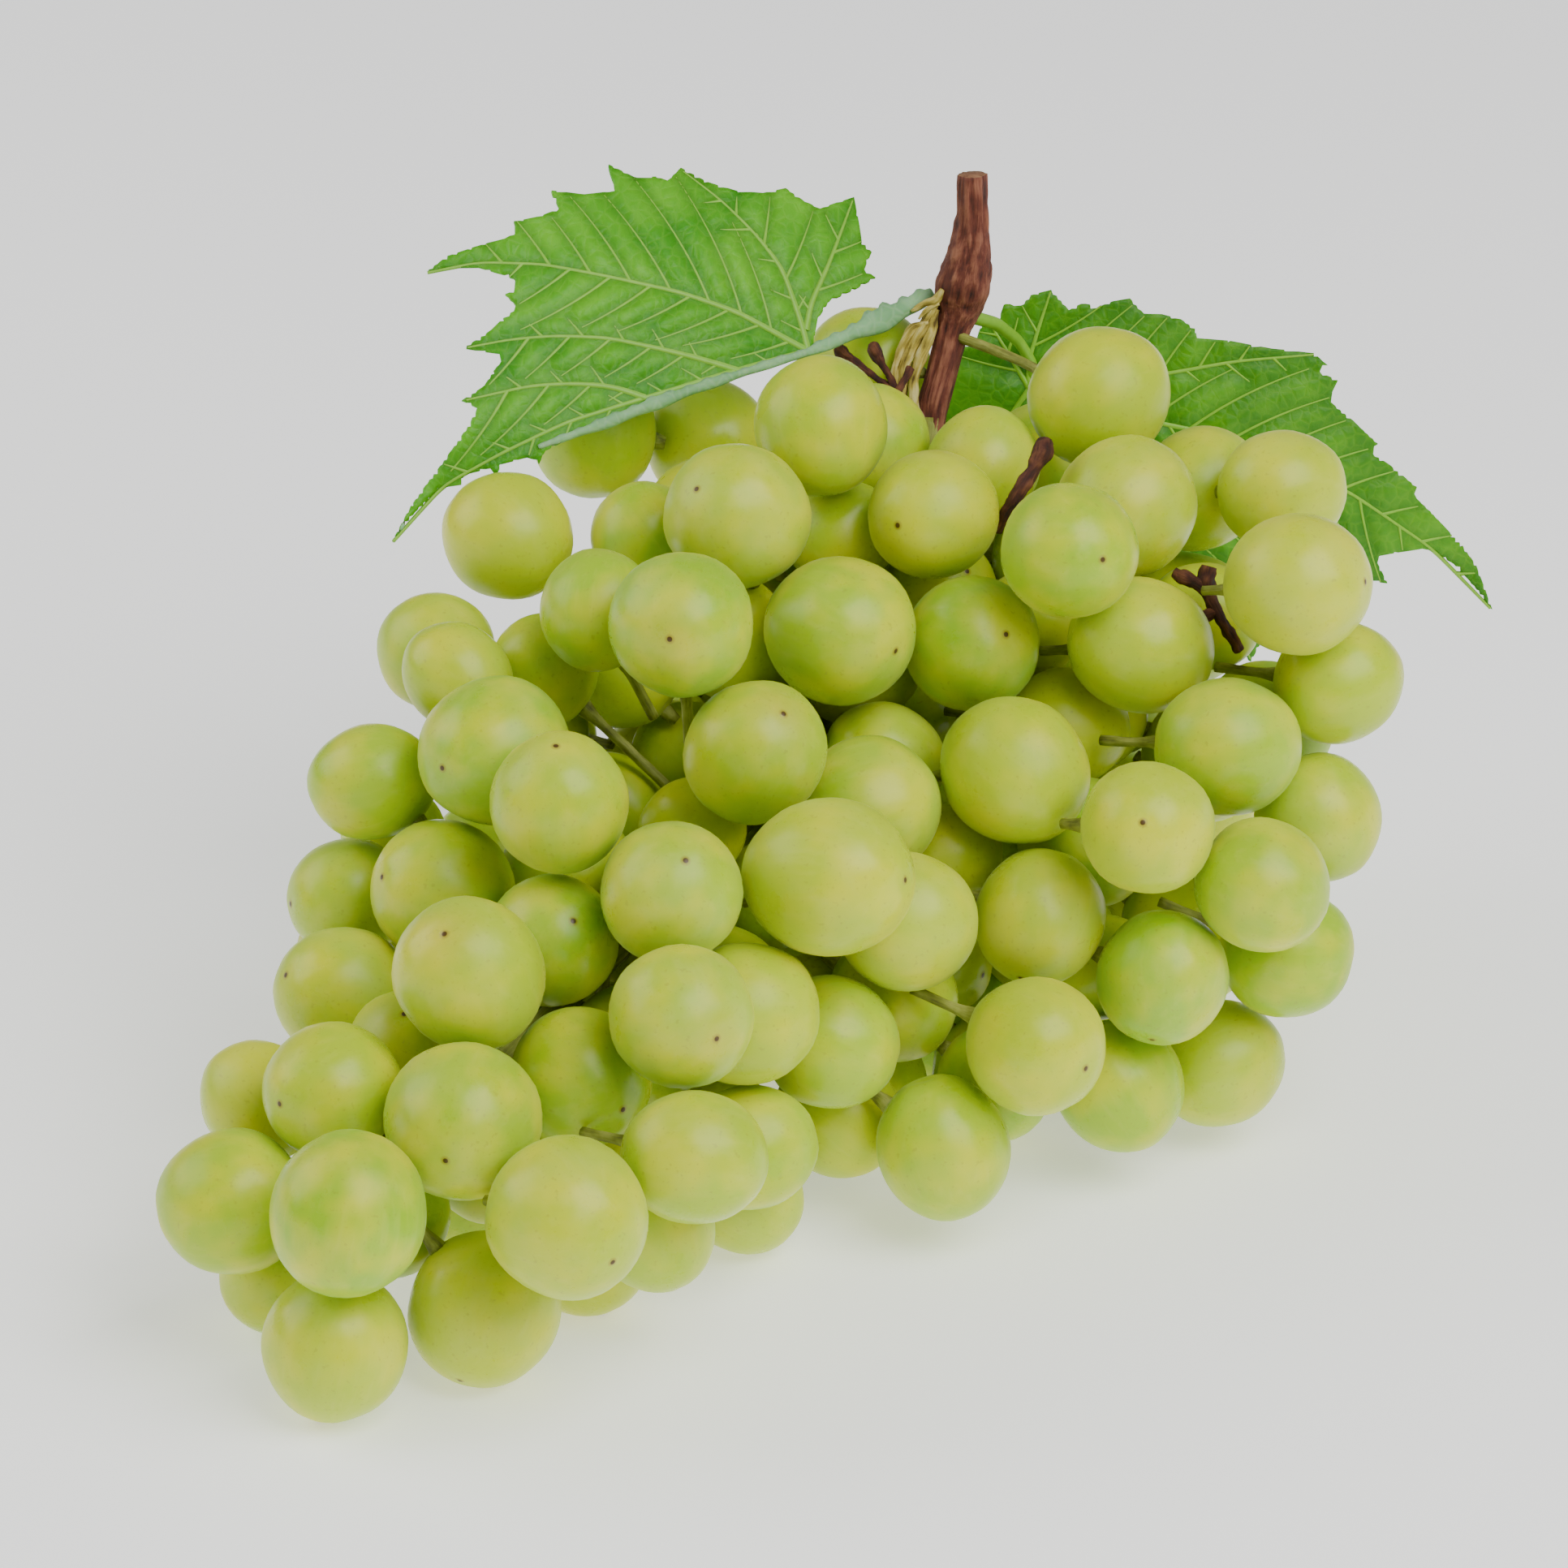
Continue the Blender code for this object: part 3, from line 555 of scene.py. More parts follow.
def side_vein(start, way, ahead, outline, others):
    """A side vein's points, from its start until it meets the rim or another vein."""
    spot, run = start, [start]
    for step in range(SIDE_VEIN_STEPS):
        way = way + SIDE_VEIN_BEND * ahead
        way /= np.linalg.norm(way)
        spot = spot + SIDE_VEIN_STEP * way
        met = step > 2 and nearest_on_lines(spot[None], others)[0][0] < VEIN_CLEARANCE
        if met or not inside_outline(spot[None], outline)[0]:
            break
        run.append(spot)
    return np.array(run)


def grow_veins(leaf, gap):
    """The main veins, and the side veins that grow from both sides of them."""
    mains = [resample(v, 1.0) for v in leaf["veins"]]
    sides = []
    for main, shares in zip(mains, leaf["branches"]):
        length = len(main)
        others = [m for m in mains if m is not main]
        for side, share in zip((1, -1), shares):
            if not share:
                continue
            n = int(3 + (0.5 if side < 0 else 0) * gap)
            while n < length - 3:
                ahead = main[min(n + 2, length - 1)] - main[max(n - 2, 0)]
                ahead = ahead / np.linalg.norm(ahead)
                cos, sin = math.cos(side * SIDE_VEIN_TURN), math.sin(side * SIDE_VEIN_TURN)
                way = np.array([ahead[0] * cos - ahead[1] * sin, ahead[0] * sin + ahead[1] * cos])
                run = side_vein(main[n], way, ahead, leaf["outline"], others + sides)
                if len(run) > 3:
                    sides.append(run)
                n += max(int(round(gap * (0.8 + 0.4 * n / length))), 3)
    return mains, sides


def leaf_depth(leaf, places):
    """Depth of the blade's middle sheet at places on the drawing."""
    depth, over_across, over_up, droop = leaf["depth"]
    off = places - np.array(leaf["middle"], float)
    half = np.ptp(np.array(leaf["outline"], float), axis=0) / 2
    part = np.clip(np.linalg.norm(off / half, axis=1), 0, 1.3)
    wave = np.array([noise.noise(Vector((x * 0.045, y * 0.045, 3.1))) for x, y in places])
    lean = off[:, 0] * over_across + off[:, 1] * over_up
    return depth + lean + droop * part**2 + leaf["cup"] * (1 - part**2) + wave * leaf["ripple"] * part


def quilting(settings, to_vein, to_main, to_rim):
    """How far the blade swells towards the eye, in millimetres, less near the rim."""
    swell = settings.quilting / MM * (1 - np.exp(-((to_vein / 1.6) ** 2)))
    swell += 0.35 * (1 - np.exp(-((to_main / 3.0) ** 2)))
    return swell * (0.5 + 0.5 * np.clip(to_rim / 12, 0, 1))


def tubes(name, runs, sides, material):
    """One mesh of round tubes. Each run is a list of points in millimetres with their radii."""
    curve = bpy.data.curves.new(name, "CURVE")
    curve.dimensions = "3D"
    curve.bevel_depth = MM
    curve.bevel_resolution = (sides - 4) // 2
    curve.use_fill_caps = True
    for points, radii in runs:
        spline = curve.splines.new("POLY")
        spline.points.add(len(points) - 1)
        for spot, point, radius in zip(spline.points, points, radii):
            spot.co = (*(np.array(point) * MM), 1)
            spot.radius = radius
        spline.use_smooth = True
    made = bpy.data.objects.new(name, curve)
    bpy.context.scene.collection.objects.link(made)
    pick(made)
    bpy.ops.object.convert(target="MESH")
    made = bpy.context.object
    made.data.materials.append(material)
    bpy.ops.object.shade_smooth()
    return made


def leaf_material(name, look):
    """A vine leaf's face: satin cuticle over green flesh that glows, with a fine net of pale veins and
    painted shade beside the larger veins.
    """
    made, tree, shader = start_material(name)
    spot = node(tree, "ShaderNodeAttribute", {"attribute_name": "leaf_spot"}).outputs["Vector"]
    near = node(tree, "ShaderNodeAttribute", {"attribute_name": "vein_near"}).outputs["Fac"]
    broad, fine = (
        node(tree, "ShaderNodeTexNoise", links={"Vector": spot}, values=values).outputs["Fac"]
        for values in ({"Scale": 0.09, "Detail": 3.0}, {"Scale": 2.2, "Detail": 5.0})
    )
    # Net of the finest veins, cells about 1.6 mm wide.
    mesh = {"Scale": 0.62, "Randomness": 0.9}
    net = node(tree, "ShaderNodeTexVoronoi", {"feature": "DISTANCE_TO_EDGE"}, {"Vector": spot}, mesh)
    net = net.outputs["Distance"]
    patches, threads, grooves, cells, rough = (
        node(
            tree, "ShaderNodeMapRange", links={"Value": source},
            values={"From Min": start, "From Max": end, "To Min": first, "To Max": last},
        ).outputs["Result"]
        for source, start, end, first, last in (
            (broad, 0.35, 0.65, 0.0, 1.0),
            (net, 0.02, 0.14, 0.16, 0.0),
            # painted shade beside the veins, strongest right at them
            (near, 0.25, 1.5, 0.42, 0.0),
            (net, 0.0, 0.35, 0.0, 1.0),
            (fine, 0.0, 1.0, look["rough"] - 0.08, look["rough"] + 0.1),
        )
    )
    # Deep to bright green in broad patches, the net's pale threads, then painted shade: a darker green in the
    # grooves beside the veins.
    greens = {"A": linear(look["deep"]), "B": linear(look["bright"])}
    face = node(tree, "ShaderNodeMix", {"data_type": "RGBA"}, {"Factor": patches}, greens)
    for cover, colour in ((threads, look["vein"]), (grooves, look["groove_shade"])):
        sockets = {"Factor": cover, "A": face.outputs["Result"]}
        face = node(tree, "ShaderNodeMix", {"data_type": "RGBA"}, sockets, {"B": linear(colour)})
    height = node(tree, "ShaderNodeMath", {"operation": "MULTIPLY_ADD"}, {0: fine, 2: cells}, {1: 0.5})
    relief = {"Strength": look["bump"], "Distance": 0.4 * MM}
    bump = node(tree, "ShaderNodeBump", links={"Height": height.outputs["Value"]}, values=relief)
    links = {"Base Color": face.outputs["Result"], "Roughness": rough, "Normal": bump.outputs["Normal"]}
    glow = {"Subsurface Weight": 0.45, "Subsurface Radius": (0.5, 1.0, 0.12), "Subsurface Scale": 1.2 * MM}
    connect(tree, shader, links, {"Specular IOR Level": 0.3, **glow})
    return made


def vein_material(name, darker, paler):
    """Leaf veins: pale, smooth and slightly glossy tissue, mottled at about a millimetre."""
    made, tree, shader = start_material(name)
    place = node(tree, "ShaderNodeTexCoord").outputs["Object"]
    mottle = node(tree, "ShaderNodeTexNoise", links={"Vector": place}, values={"Scale": 900.0, "Detail": 2.0})
    greens = {"A": linear(darker), "B": linear(paler)}
    tissue = node(tree, "ShaderNodeMix", {"data_type": "RGBA"}, {"Factor": mottle.outputs["Fac"]}, greens)
    connect(tree, shader, {"Base Color": tissue.outputs["Result"]}, {"Roughness": 0.5})
    return made


def make_leaf(name, leaf, settings, materials):
    """A blade with teeth, quilted between its veins, with the veins on both faces and any turned-up lip."""
    mains, sides = grow_veins(leaf, settings.branch_gap / MM)
    outline = np.array(leaf["outline"], float)
    rim = [np.vstack([outline, outline[:1]])]
    step = settings.step / MM
    low, high = outline.min(0) - step, outline.max(0) + step
    blade, places = grid_sheet(name, *(int(n) for n in np.ceil((high - low) / step)))
    places = places * (high - low) + low
    # The net is trimmed to the outline, and every tooth gets a vertex of its own.
    to_rim, on_rim = nearest_on_lines(places, rim)
    inside = inside_outline(places, outline)
    kept = inside | (to_rim < 0.75 * step)
    places[kept & ~inside] = on_rim[kept & ~inside]
    off_rim = 99 * ~(kept & (to_rim < step))  # keeps the vertices that are not on the rim where they are
    for tooth in outline:
        places[(np.linalg.norm(places - tooth, axis=1) + off_rim).argmin()] = tooth
    to_vein, _ = nearest_on_lines(places, mains + sides)
    to_main, _ = nearest_on_lines(places, mains)
    depth = leaf_depth(leaf, places) - quilting(settings, to_vein, to_main, to_rim)
    move_vertices(blade.data, sight(places[:, 0], places[:, 1], depth))
    remember(blade.data, "leaf_spot", np.c_[places, np.zeros(len(places))])
    remember(blade.data, "vein_near", to_vein)
    pick(blade)
    bpy.ops.object.mode_set(mode="EDIT")
    bpy.ops.mesh.select_all(action="DESELECT")
    bpy.ops.object.mode_set(mode="OBJECT")
    blade.data.vertices.foreach_set("select", ~kept)
    bpy.ops.object.mode_set(mode="EDIT")
    bpy.ops.mesh.delete(type="VERT")
    weld(blade, 0.02 * MM)
    facing = sum((p.normal for p in blade.data.polygons), Vector())
    if facing.dot(Vector(AWAY)) > 0:  # the upper face is turned to the eye
        bpy.ops.object.mode_set(mode="EDIT")
        bpy.ops.mesh.select_all(action="SELECT")
        bpy.ops.mesh.flip_normals()
        bpy.ops.object.mode_set(mode="OBJECT")
    for material in materials:
        blade.data.materials.append(material)
    thicken(blade, settings.thickness, back_material=1)
    # The veins stand out on both faces, more on the back.
    half = settings.thickness / MM / 2
    runs = []
    for group, thick_end, thin_end in ((mains, 0.60, 0.2), (sides, 0.32, 0.13)):
        for vein in group:
            line = resample(vein, 0.7)
            radii = np.linspace(thick_end, thin_end, len(line))
            to_main, _ = nearest_on_lines(line, mains)
            to_rim, _ = nearest_on_lines(line, rim)
            depth = leaf_depth(leaf, line) - quilting(settings, 0, to_main, to_rim)
            runs.append((sight(line[:, 0], line[:, 1], depth - half + 0.3 * radii), radii))
            runs.append((sight(line[:, 0], line[:, 1], depth + half + 0.1 * radii), radii * 1.35))
    parts = [blade, tubes(name + "_veins", runs, 6, materials[2])]
    if leaf["lip"]:
        parts.append(leaf_lip(name, leaf, settings, materials[1]))
    return join(*parts)


def leaf_lip(name, leaf, settings, underside):
    """The turned-up lower edge, which shows the underside, and the strip that runs on to the cane."""
    line = resample(leaf["lip"], 0.5)
    middle = line[:, :2]
    way = np.gradient(middle, axis=0)
    way /= np.linalg.norm(way, axis=1)[:, None]
    side = np.stack([-way[:, 1], way[:, 0]], 1)
    side[side[:, 1] < 0] *= -1
    lip, at = grid_sheet(name + "_lip", len(line) - 1, LIP_ROWS - 1)
    row = np.rint(at[:, 0] * (len(line) - 1)).astype(int)
    over = at[:, 1]
    turn = (1.15 * over - 0.5) * np.pi
    width = line[row, 2]
    ragged = 1 + 0.35 * np.sin(row * 1.1) * (over > 0.8) + 0.2 * np.sin(row * 0.37)
    places = middle[row] + side[row] * (0.5 * width * np.sin(turn) * ragged)[:, None]
    depth = leaf_depth(leaf, middle)[row] - 0.5 - 0.55 * width * np.cos(turn)
    move_vertices(lip.data, sight(places[:, 0], places[:, 1], depth))
    remember(lip.data, "leaf_spot", np.c_[places, np.full(len(places), 5.0)])
    remember(lip.data, "vein_near", np.full(len(places), 3.0))
    lip.data.materials.append(underside)
    thicken(lip, settings.thickness)
    return lip


def leaf_kinds():
    """Upper face, underside and veins: of the leaf in the light, and of the thin one whose deeper, more
    saturated greens are a painted glow of light shining through it.
    """
    # The groove colours are painted shade: the darker green in the grooves beside the veins.
    upper = dict(deep="#3F960A", bright="#6AB61A", vein="#8CC63C", groove_shade="#1E6A08", bump=0.3, rough=0.48)
    under = dict(deep="#7BAE78", bright="#98C592", vein="#C4DDB4", groove_shade="#8DBB92", bump=0.3, rough=0.62)
    # The right leaf's deeper, more saturated greens are a painted glow of light shining through it.
    lit = dict(deep="#377C00", bright="#559A00", vein="#86BC1C", groove_shade="#2C7400", bump=0.25, rough=0.5)
    return [
        [
            leaf_material(f"{kind}_upper_face", face),
            leaf_material(f"{kind}_{back}", under),
            vein_material(f"{kind}_vein", *greens),
        ]
        for kind, face, back, greens in (
            ("vine_leaf", upper, "downy_underside", ("#78B828", "#98CC48")),
            ("glow_painted_vine_leaf", lit, "underside", ("#74B010", "#8FC42C")),
        )
    ]


class GRAPES_OT_leaves(bpy.types.Operator):
    """Makes the two vine leaves in place of their plain sheets"""

    bl_idname = "grapes.leaves"
    bl_label = "Leaves"

    def execute(self, context):
        settings = context.scene.grape_leaf
        left_kind, right_kind = leaf_kinds()
        left = make_leaf("vine_leaf_left", LEFT_LEAF, settings, left_kind)
        finish_piece(left, ["leaf_left"])
        right = make_leaf("vine_leaf_right", RIGHT_LEAF, settings, right_kind)
        line = resample([sight(*p)[0] for p in PETIOLE], 0.8)
        petiole = tubes("vine_leaf_petiole", [(line, np.linspace(0.8, 1.1, len(line)))], 10, right_kind[2])
        finish_piece(join(right, petiole), ["leaf_right"])
        return {"FINISHED"}


# ---------------------------------------------------------------- stem

# The cane, drawn in millimetres: across, up and radius, from its cut end down to where the bunch hides it.
CANE = (
    (27.6, 89.4, 2.1), (27.7, 86, 2.25), (27.6, 83, 2.4), (27.3, 79.5, 2.9), (27, 76.5, 3.6),
    (26.3, 73.2, 4.2), (25.7, 70.5, 3.7), (24.8, 67, 2.7), (24, 63.5, 2.4), (23.1, 60.2, 2.4),
    (22, 56.5, 2.5), (21.6, 53.5, 2.2), (21.4, 50, 1.9),
)
# Torn wood where a shoot broke away: strands as across, up and radius.
TORN = (
    (
        (22.6, 71.5, 0.5), (21.4, 68.6, 0.9), (19.3, 65.4, 1.0), (17.6, 61.4, 0.9), (17.3, 57.4, 0.8),
        (18.4, 54, 0.7), (20.6, 51.4, 0.5),
    ),
    (
        (22.4, 69.6, 0.5), (21.6, 66.4, 0.9), (20.1, 62.8, 0.9), (18.9, 59, 0.8), (19, 55.4, 0.7),
        (20.7, 52.4, 0.4),
    ),
    (
        (21.2, 67.6, 0.3), (18.9, 67.3, 0.7), (17.2, 64.4, 0.6), (16.1, 60.6, 0.5), (16.5, 56.6, 0.4),
        (17.6, 54.2, 0.2),
    ),
    ((23.2, 72.6, 0.4), (22.4, 70.7, 0.8), (20.4, 70.5, 0.5), (18.6, 69.4, 0.15)),
    ((22.8, 70.4, 0.3), (21, 69.8, 0.5), (19.7, 68.2, 0.12)),
)
# Dried stalks whose berries are gone: across, up, depth and radius.
DRIED = (
    (
        (16.5, 57.5, 33, 0.5), (12.6, 60.2, 33.5, 0.45), (9.8, 62.4, 34, 0.7), (8.5, 63.2, 33.8, 1.25),
        (7.8, 64, 34, 0.9),
    ),
    (
        (16.8, 57, 32.5, 0.5), (15.2, 60.4, 33, 0.5), (13.9, 62.3, 33.5, 0.8), (13.4, 63.6, 33.5, 1.2),
        (13, 64.4, 34, 0.8),
    ),
    ((16.4, 53, 32, 0.8), (16.7, 57.6, 32.3, 0.6), (18.6, 61, 33.5, 0.5)),
    (
        (31.2, 37.4, 3, 0.9), (32.4, 39.6, 0.5, 1.0), (34, 41.8, -1, 1.1), (35.2, 44, -1, 1.2),
        (36.6, 46.4, 0, 1.0), (37.9, 48.6, 1, 1.7), (38.4, 50.3, 2, 1.2),
    ),
    (
        (66.8, 19.6, 0, 0.8), (65.6, 21.6, -1, 0.9), (63.9, 24.4, -2, 0.9), (62.5, 27.2, -2, 1.0),
        (61.8, 29.6, -2, 1.5), (62.4, 31.9, -2, 1.1),
    ),
    ((62.2, 28.2, -2, 0.9), (60.4, 29.6, -2.5, 0.9), (58.6, 30.3, -2.5, 1.3), (57.2, 31, -2, 0.8)),
    ((63.4, 25.2, -2.2, 0.5), (61.9, 24.6, -2.6, 0.9), (60.9, 24.9, -2.6, 0.4)),
)
# The shoots to the berries, in millimetres. One that starts within reach of the rachis runs all the way.
SHOOT_STEP = 1.5
SHOOT_REACH = 30
SHOOT_CLEARANCE = 0.4


class StemSettings(bpy.types.PropertyGroup):
    around: IntProperty(name="Around", description="Faces round the cane", default=40, min=8)
    grain: FloatProperty(
        name="Grain", description="Depth of the grooves along the bark", default=0.34 * MM, unit="LENGTH"
    )
    pedicel: FloatProperty(
        name="Pedicel", description="Stalk of a berry far from the rachis", default=10 * MM, unit="LENGTH"
    )
    seed: IntProperty(name="Seed", description="Changes the bend of the small stalks", default=5)


def depth_of_rachis(up):
    """Depth of the rachis where it crosses a height on the drawing."""
    off = np.array([p for p, _ in RACHIS]) - DRAWING_CENTRE
    depth = off @ AWAY
    height = off @ UP / (1 + depth / EYE_DISTANCE)
    return np.interp(up, height[::-1], depth[::-1])


def stick(name, line, around, step, relief, material, stretch=7.0, seed=0.0):
    """A round stick along a line of points with radii, in millimetres, with grooves that run lengthwise."""
    line = resample(line, step)
    points, radii = line[:, :3], line[:, 3]
    count = len(points)
    made, at = grid_sheet(name, around, count + 1)
    turn = at[:, 0] * 2 * np.pi
    row = np.rint(at[:, 1] * (count + 1)).astype(int)
    spot = np.clip(row - 1, 0, count - 1)
    closed = (row == 0) | (row == count + 1)  # the first and last rows close the ends
    way = np.gradient(points, axis=0)
    way /= np.linalg.norm(way, axis=1)[:, None]
    side = np.cross(way, AWAY + 0.3 * UP)
    side /= np.linalg.norm(side, axis=1)[:, None]
    other = np.cross(way, side)
    along = np.r_[0, np.cumsum(np.linalg.norm(np.diff(points, axis=0), axis=1))]
    grain = np.stack([np.cos(turn) * radii[spot], np.sin(turn) * radii[spot], along[spot]], 1)
    swell = np.array([
        noise.noise(Vector((x * 1.5 + seed, y * 1.5, z / stretch)))
        + 0.6 * noise.noise(Vector((x * 4 + seed, y * 4, 2 * z / stretch)))
        for x, y, z in grain
    ])
    radius = np.where(closed, 0, radii[spot] + relief * swell)
    out = np.cos(turn)[:, None] * side[spot] + np.sin(turn)[:, None] * other[spot]
    move_vertices(made.data, points[spot] + radius[:, None] * out)
    remember(made.data, "grain", grain + seed)
    # Low where the relief sinks, so that a material can paint shade into the grooves.
    remember(made.data, "groove_shade", 0.5 + 0.5 * swell)
    weld(made, 0.01 * MM)
    made.data.materials.append(material)
    bpy.ops.object.shade_smooth()
    return made


def wood(name, colours, rough, streak=1.0, bump=0.5):
    """Plant stems, streaked along the grain. Three colours, from the grooves to the ridges, darker in the
    grooves as painted shade.
    """
    made, tree, shader = start_material(name)
    grain = node(tree, "ShaderNodeAttribute", {"attribute_name": "grain"}).outputs["Vector"]
    groove_shade = node(tree, "ShaderNodeAttribute", {"attribute_name": "groove_shade"}).outputs["Fac"]
    long = node(tree, "ShaderNodeVectorMath", {"operation": "MULTIPLY"}, {0: grain}, {1: (2.6, 2.6, 0.22)})
    fibre, patch = (
        node(tree, "ShaderNodeTexNoise", links={"Vector": vector}, values=values).outputs["Fac"]
        for vector, values in (
            (long.outputs["Vector"], {"Scale": streak, "Detail": 6.0, "Roughness": 0.65}),
            (grain, {"Scale": 0.35, "Detail": 3.0}),
        )
    )
    # Painted shade: low groove values darken the colour in the grooves of the relief.
    tone = node(tree, "ShaderNodeMath", {"operation": "MULTIPLY_ADD"}, {0: fibre, 2: groove_shade}, {1: 1.3})
    whole = node(tree, "ShaderNodeMath", {"operation": "ADD"}, {0: tone.outputs["Value"], 1: patch})
    limits = {"From Min": 1.15, "From Max": 2.15}
    level = node(tree, "ShaderNodeMapRange", links={"Value": whole.outputs["Value"]}, values=limits)
    ramp = node(tree, "ShaderNodeValToRGB", links={"Fac": level.outputs["Result"]})
    ramp.color_ramp.elements.new(0.45)
    for element, position, colour in zip(ramp.color_ramp.elements, (0.0, 0.45, 1.0), colours):
        element.position = position
        element.color = linear(colour)
    relief = {"Strength": bump, "Distance": 0.5 * MM}
    lift = node(tree, "ShaderNodeBump", links={"Height": fibre}, values=relief)
    links = {"Base Color": ramp.outputs["Color"], "Normal": lift.outputs["Normal"]}
    connect(tree, shader, links, {"Roughness": rough})
    return made


def shoot(berry, middles, halves, longest, rng):
    """A berry's stalk, from inside its stem end to the rachis, or until another berry is in its way."""
    middle, half_width = berry[:2]
    home = nearest_on_rachis(middle)
    way = (middle - home) / np.linalg.norm(middle - home)
    stem_end = middle - way * half_width
    bend = -way + 0.12 * rng.normal(size=3)
    line = [(*(stem_end - way * out), radius) for out, radius in ((-0.5, 1.5), (0.5, 1.5), (1.4, 1.0))]
    spot = stem_end - way * 1.4
    to_rachis = np.linalg.norm(home - stem_end)
    for n in range(int((to_rachis if to_rachis < SHOOT_REACH else longest) / SHOOT_STEP)):
        ahead = home - spot
        if np.linalg.norm(ahead) < SHOOT_STEP:
            break
        bend = bend + 0.35 * (ahead / np.linalg.norm(ahead) - bend)
        spot = spot + SHOOT_STEP * bend / np.linalg.norm(bend)
        if (np.linalg.norm(middles - spot, axis=1) < halves + SHOOT_CLEARANCE).any():
            break
        line.append((*spot, 0.75 + 0.012 * n))
    return line


class GRAPES_OT_stem(bpy.types.Operator):
    """Makes the cane, the rachis with its shoots, a stalk for every berry and the dried stalks"""

    bl_idname = "grapes.stem"
    bl_label = "Stem"

    def execute(self, context):
        settings = context.scene.grape_stem
        rng = np.random.default_rng(settings.seed)
        # Ripe cane bark is dry and fibrous: matt red-brown streaks, darkened in the grooves between them by
        # painted shade.
        bark = wood("grape_cane_bark", ("#2C0E07", "#6E3222", "#A86A4E"), 0.72, bump=0.9)
        # A cut end is open grain: paler, and duller than the bark.
        cut = wood("cut_cane_end", ("#5A3620", "#8E6244", "#B08A62"), 0.85)
        # Torn wood is bare pale fibre: straw-yellow ridges with shadow between them.
        torn = wood("torn_pale_wood", ("#5E4A14", "#C8B24A", "#F0E49C"), 0.8, 1.4, 0.8)
        # Dried stalks have shrivelled: almost black, wrinkled and dull.
        dried = wood("dried_dark_stalk", ("#1E0C06", "#4A2010", "#7E4A2A"), 0.75, 1.2, 0.9)
        # The living rachis has a thin green-brown skin: smoother, with a soft shine.
        green = wood("green_brown_rachis", ("#5C5A1E", "#8A9034", "#B2B45A"), 0.55)
        upper = [(*sight(a, u, depth_of_rachis(u))[0], r) for a, u, r in CANE]
        cane = stick("cane", upper, settings.around, 0.55, settings.grain / MM, bark)
        cane.data.materials.append(cut)
        top = max(v.co.z for v in cane.data.vertices)
        for face in cane.data.polygons:  # the sawn end
            if len(face.vertices) == 3 and cane.data.vertices[face.vertices[0]].co.z > top - 3 * MM:
                face.material_index = 1
        pieces = [cane]
        for k, strand in enumerate(TORN):
            line = [(*sight(a, u, depth_of_rachis(u) - 1.8 - 0.25 * k)[0], r) for a, u, r in strand]
            pieces.append(stick(f"torn_{k}", line, 10, 0.5, 0.28, torn, 3.0, 3.7 * k))
        for k, stalk in enumerate(DRIED):
            line = [(*sight(a, u, d)[0], r) for a, u, d, r in stalk]
            pieces.append(stick(f"dried_{k}", line, 12, 0.4, 0.3, dried, 2.0, 5.1 * k))
        # The rachis goes on below the cane, and a shoot runs to each berry that it can reach.
        lower = [*upper[-2:], *((*p, r) for p, r in RACHIS[5:])]
        pieces.append(stick("rachis", lower, 16, 1.2, 0.15, green))
        berries = [berry for name in sprig_names() for berry in berries_in(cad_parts[name])]
        middles = np.array([b[0] for b in berries])
        halves = np.array([b[2] for b in berries])
        for k, berry in enumerate(berries):
            others = np.arange(len(berries)) != k
            line = shoot(berry, middles[others], halves[others], settings.pedicel / MM, rng)
            pieces.append(stick(f"pedicel_{k}", line, 8, 0.9, 0.08, green, 4.0, 0.7 * k))
        stem = join(*pieces)
        stem.name = "cane_and_rachis"
        finish_piece(stem, ["stem"])
        return {"FINISHED"}


# ---------------------------------------------------------------- stage


class StageSettings(bpy.types.PropertyGroup):
    floor_colour: FloatVectorProperty(
        name="Floor", description="Colour of the floor", subtype="COLOR", default=linear("#F7F7F6")[:3]
    )
    floor_glow: FloatProperty(
        name="Floor glow", description="Light that shines up through the translucent floor", default=0.55
    )
    key_power: FloatProperty(
        name="Key light", description="Power of the large soft light overhead", default=13.0, unit="POWER"
    )
    fill_power: FloatProperty(
        name="Fill light", description="Power of the soft light from the left", default=5.0, unit="POWER"
    )
    sky: FloatProperty(name="Room light", description="Strength of the white room's even light", default=0.26)


def area_light(name, place, size, power):
    """A rectangular soft light, in metres and watts, aimed at the middle of the bunch."""
    data = bpy.data.lights.new(name, "AREA")
    data.shape = "RECTANGLE"
    data.size, data.size_y = size
    data.energy = power
    light = bpy.data.objects.new(name, data)
    bpy.context.scene.collection.objects.link(light)
    light.location = place
    light.rotation_euler = (Vector((0, 0, 0.05)) - Vector(place)).to_track_quat("-Z", "Y").to_euler()


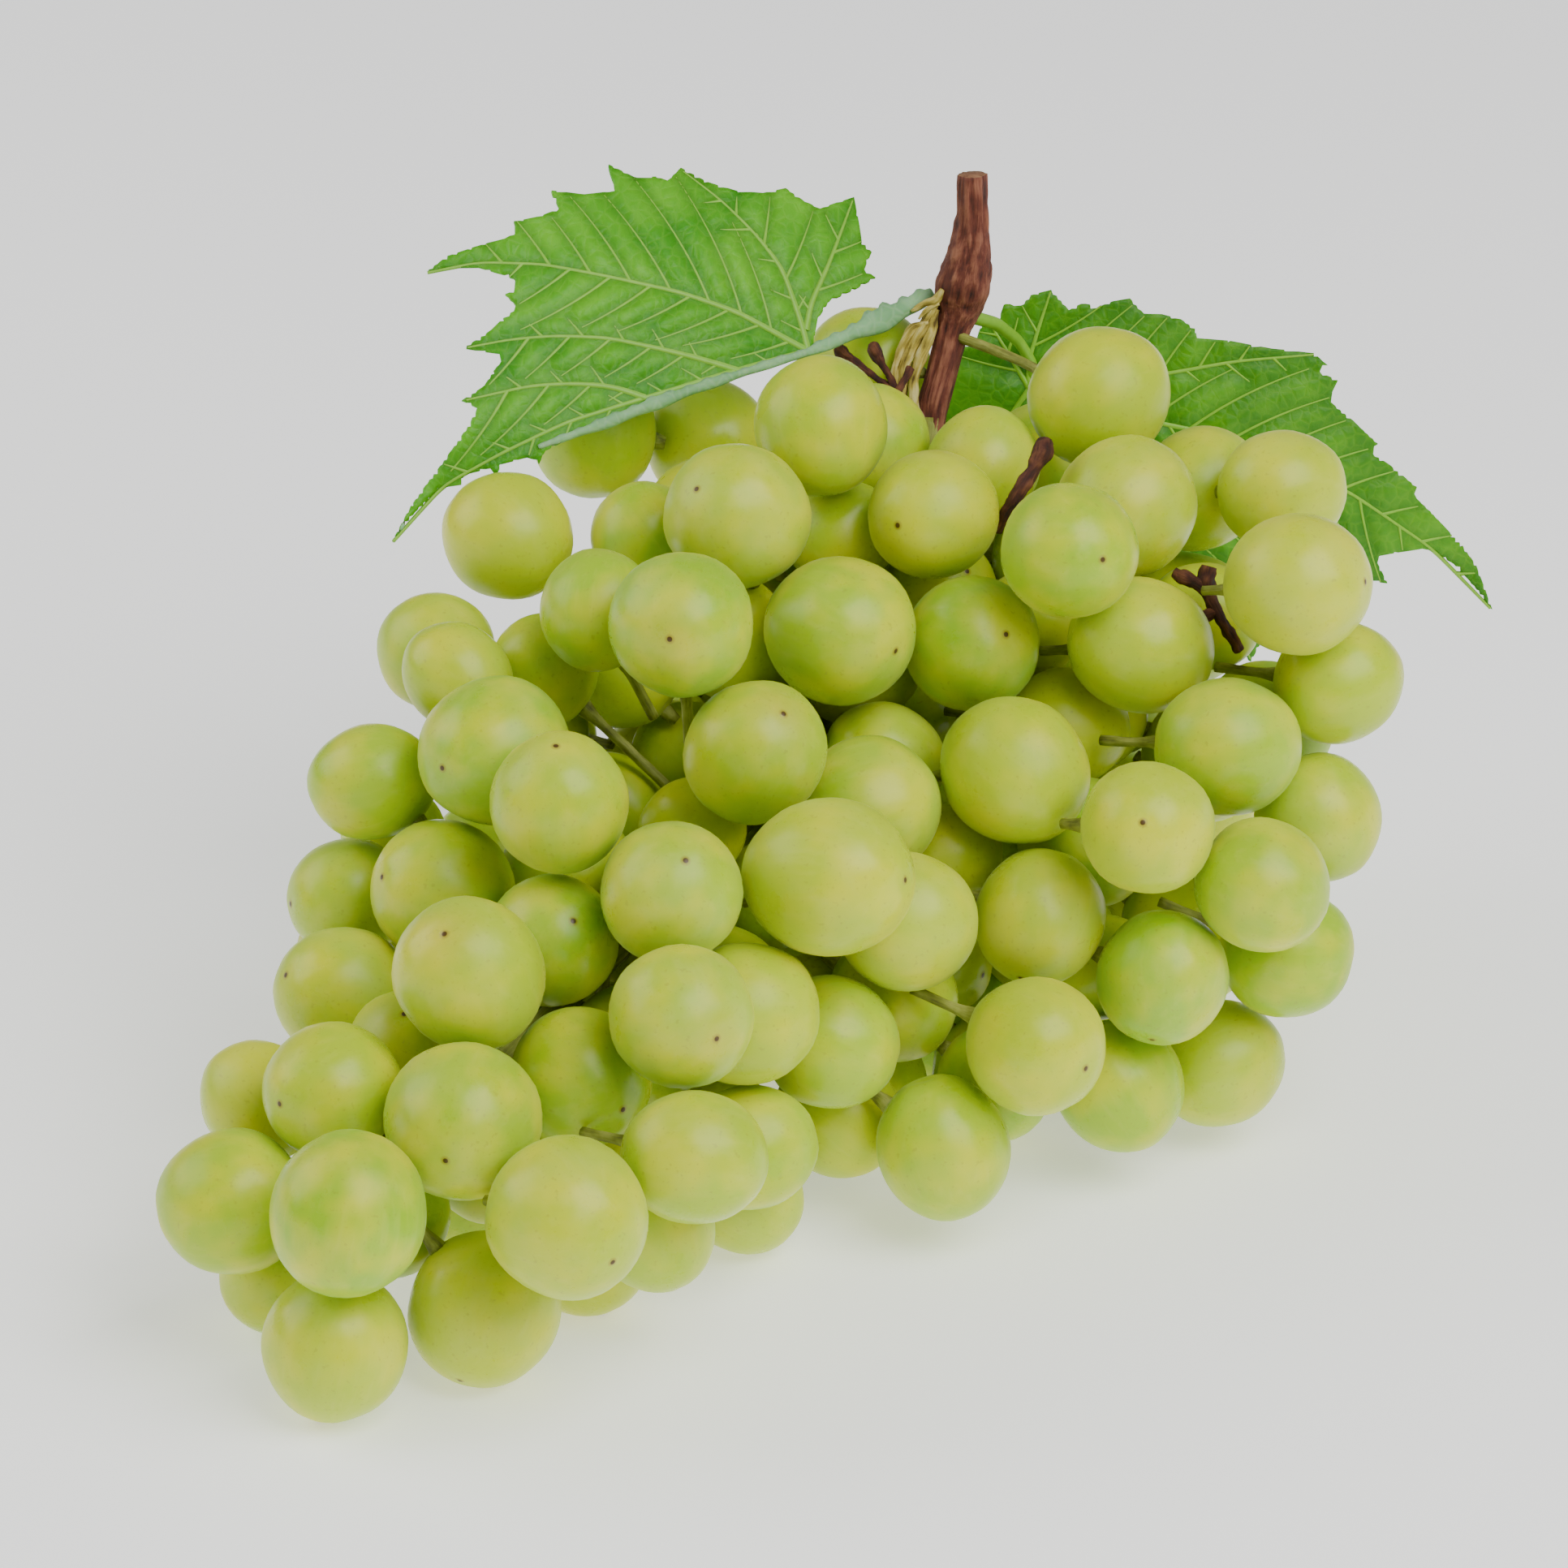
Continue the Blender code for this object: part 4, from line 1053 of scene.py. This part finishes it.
class GRAPES_OT_stage(bpy.types.Operator):
    """Makes the pale floor, the soft studio light and the camera"""

    bl_idname = "grapes.stage"
    bl_label = "Stage"

    def execute(self, context):
        settings = context.scene.grape_stage
        pick_nothing()
        bpy.ops.mesh.primitive_plane_add(size=8)
        floor = context.object
        floor.name = "floor"
        # Opal acrylic lit from below: matt white, and bright enough to keep the shadows on it faint.
        acrylic, tree, shader = start_material("glowing_white_acrylic")
        matt = {"Base Color": (*settings.floor_colour, 1), "Roughness": 0.9, "Specular IOR Level": 0.1}
        light = {"Emission Color": (1, 1, 1, 1), "Emission Strength": settings.floor_glow}
        connect(tree, shader, {}, {**matt, **light})
        floor.data.materials.append(acrylic)
        world = bpy.data.worlds.new("white_room")
        context.scene.world = world
        world.use_nodes = True
        sky = world.node_tree.nodes["Background"]
        connect(world.node_tree, sky, {}, {"Color": (1, 1, 1, 1), "Strength": settings.sky})
        area_light("overhead_softbox", (0.5, -0.5, 0.9), (0.9, 0.8), settings.key_power)
        area_light("left_softbox", (-0.9, 0.15, 0.6), (0.8, 0.7), settings.fill_power)
        data = bpy.data.cameras.new("camera")
        data.angle = 2 * math.atan(VIEW_HALF_WIDTH / EYE_DISTANCE)
        data.clip_start = 0.05
        camera = bpy.data.objects.new("camera", data)
        context.scene.collection.objects.link(camera)
        camera.location = Vector((DRAWING_CENTRE - AWAY * EYE_DISTANCE) * MM)
        camera.rotation_euler = Vector(AWAY).to_track_quat("-Z", "Y").to_euler()
        context.scene.camera = camera
        return {"FINISHED"}


# ---------------------------------------------------------------- panel and main


class GRAPES_PT_panel(bpy.types.Panel):
    """Lists the makers of the bunch"""

    bl_idname = "GRAPES_PT_panel"
    bl_label = "Bunch of grapes"
    bl_space_type = "VIEW_3D"
    bl_region_type = "UI"
    bl_category = "Grapes"

    def draw(self, context):
        for maker in MAKERS:
            self.layout.operator(maker.bl_idname)


SETTINGS = {
    "grape_settings": GrapeSettings,
    "grape_leaf": LeafSettings,
    "grape_stem": StemSettings,
    "grape_stage": StageSettings,
}
MAKERS = (GRAPES_OT_berries, GRAPES_OT_leaves, GRAPES_OT_stem, GRAPES_OT_stage)
CLASSES = (*SETTINGS.values(), *MAKERS, GRAPES_PT_panel)


def register():
    for one in CLASSES:
        bpy.utils.register_class(one)
    for name, kind in SETTINGS.items():
        setattr(bpy.types.Scene, name, PointerProperty(type=kind))


def unregister():
    for name in SETTINGS:
        delattr(bpy.types.Scene, name)
    for one in reversed(CLASSES):
        bpy.utils.unregister_class(one)


def main():
    register()
    bpy.ops.grapes.berries()
    bpy.ops.grapes.leaves()
    bpy.ops.grapes.stem()
    bpy.ops.grapes.stage()
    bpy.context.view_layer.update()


if __name__ == "__main__":
    main()
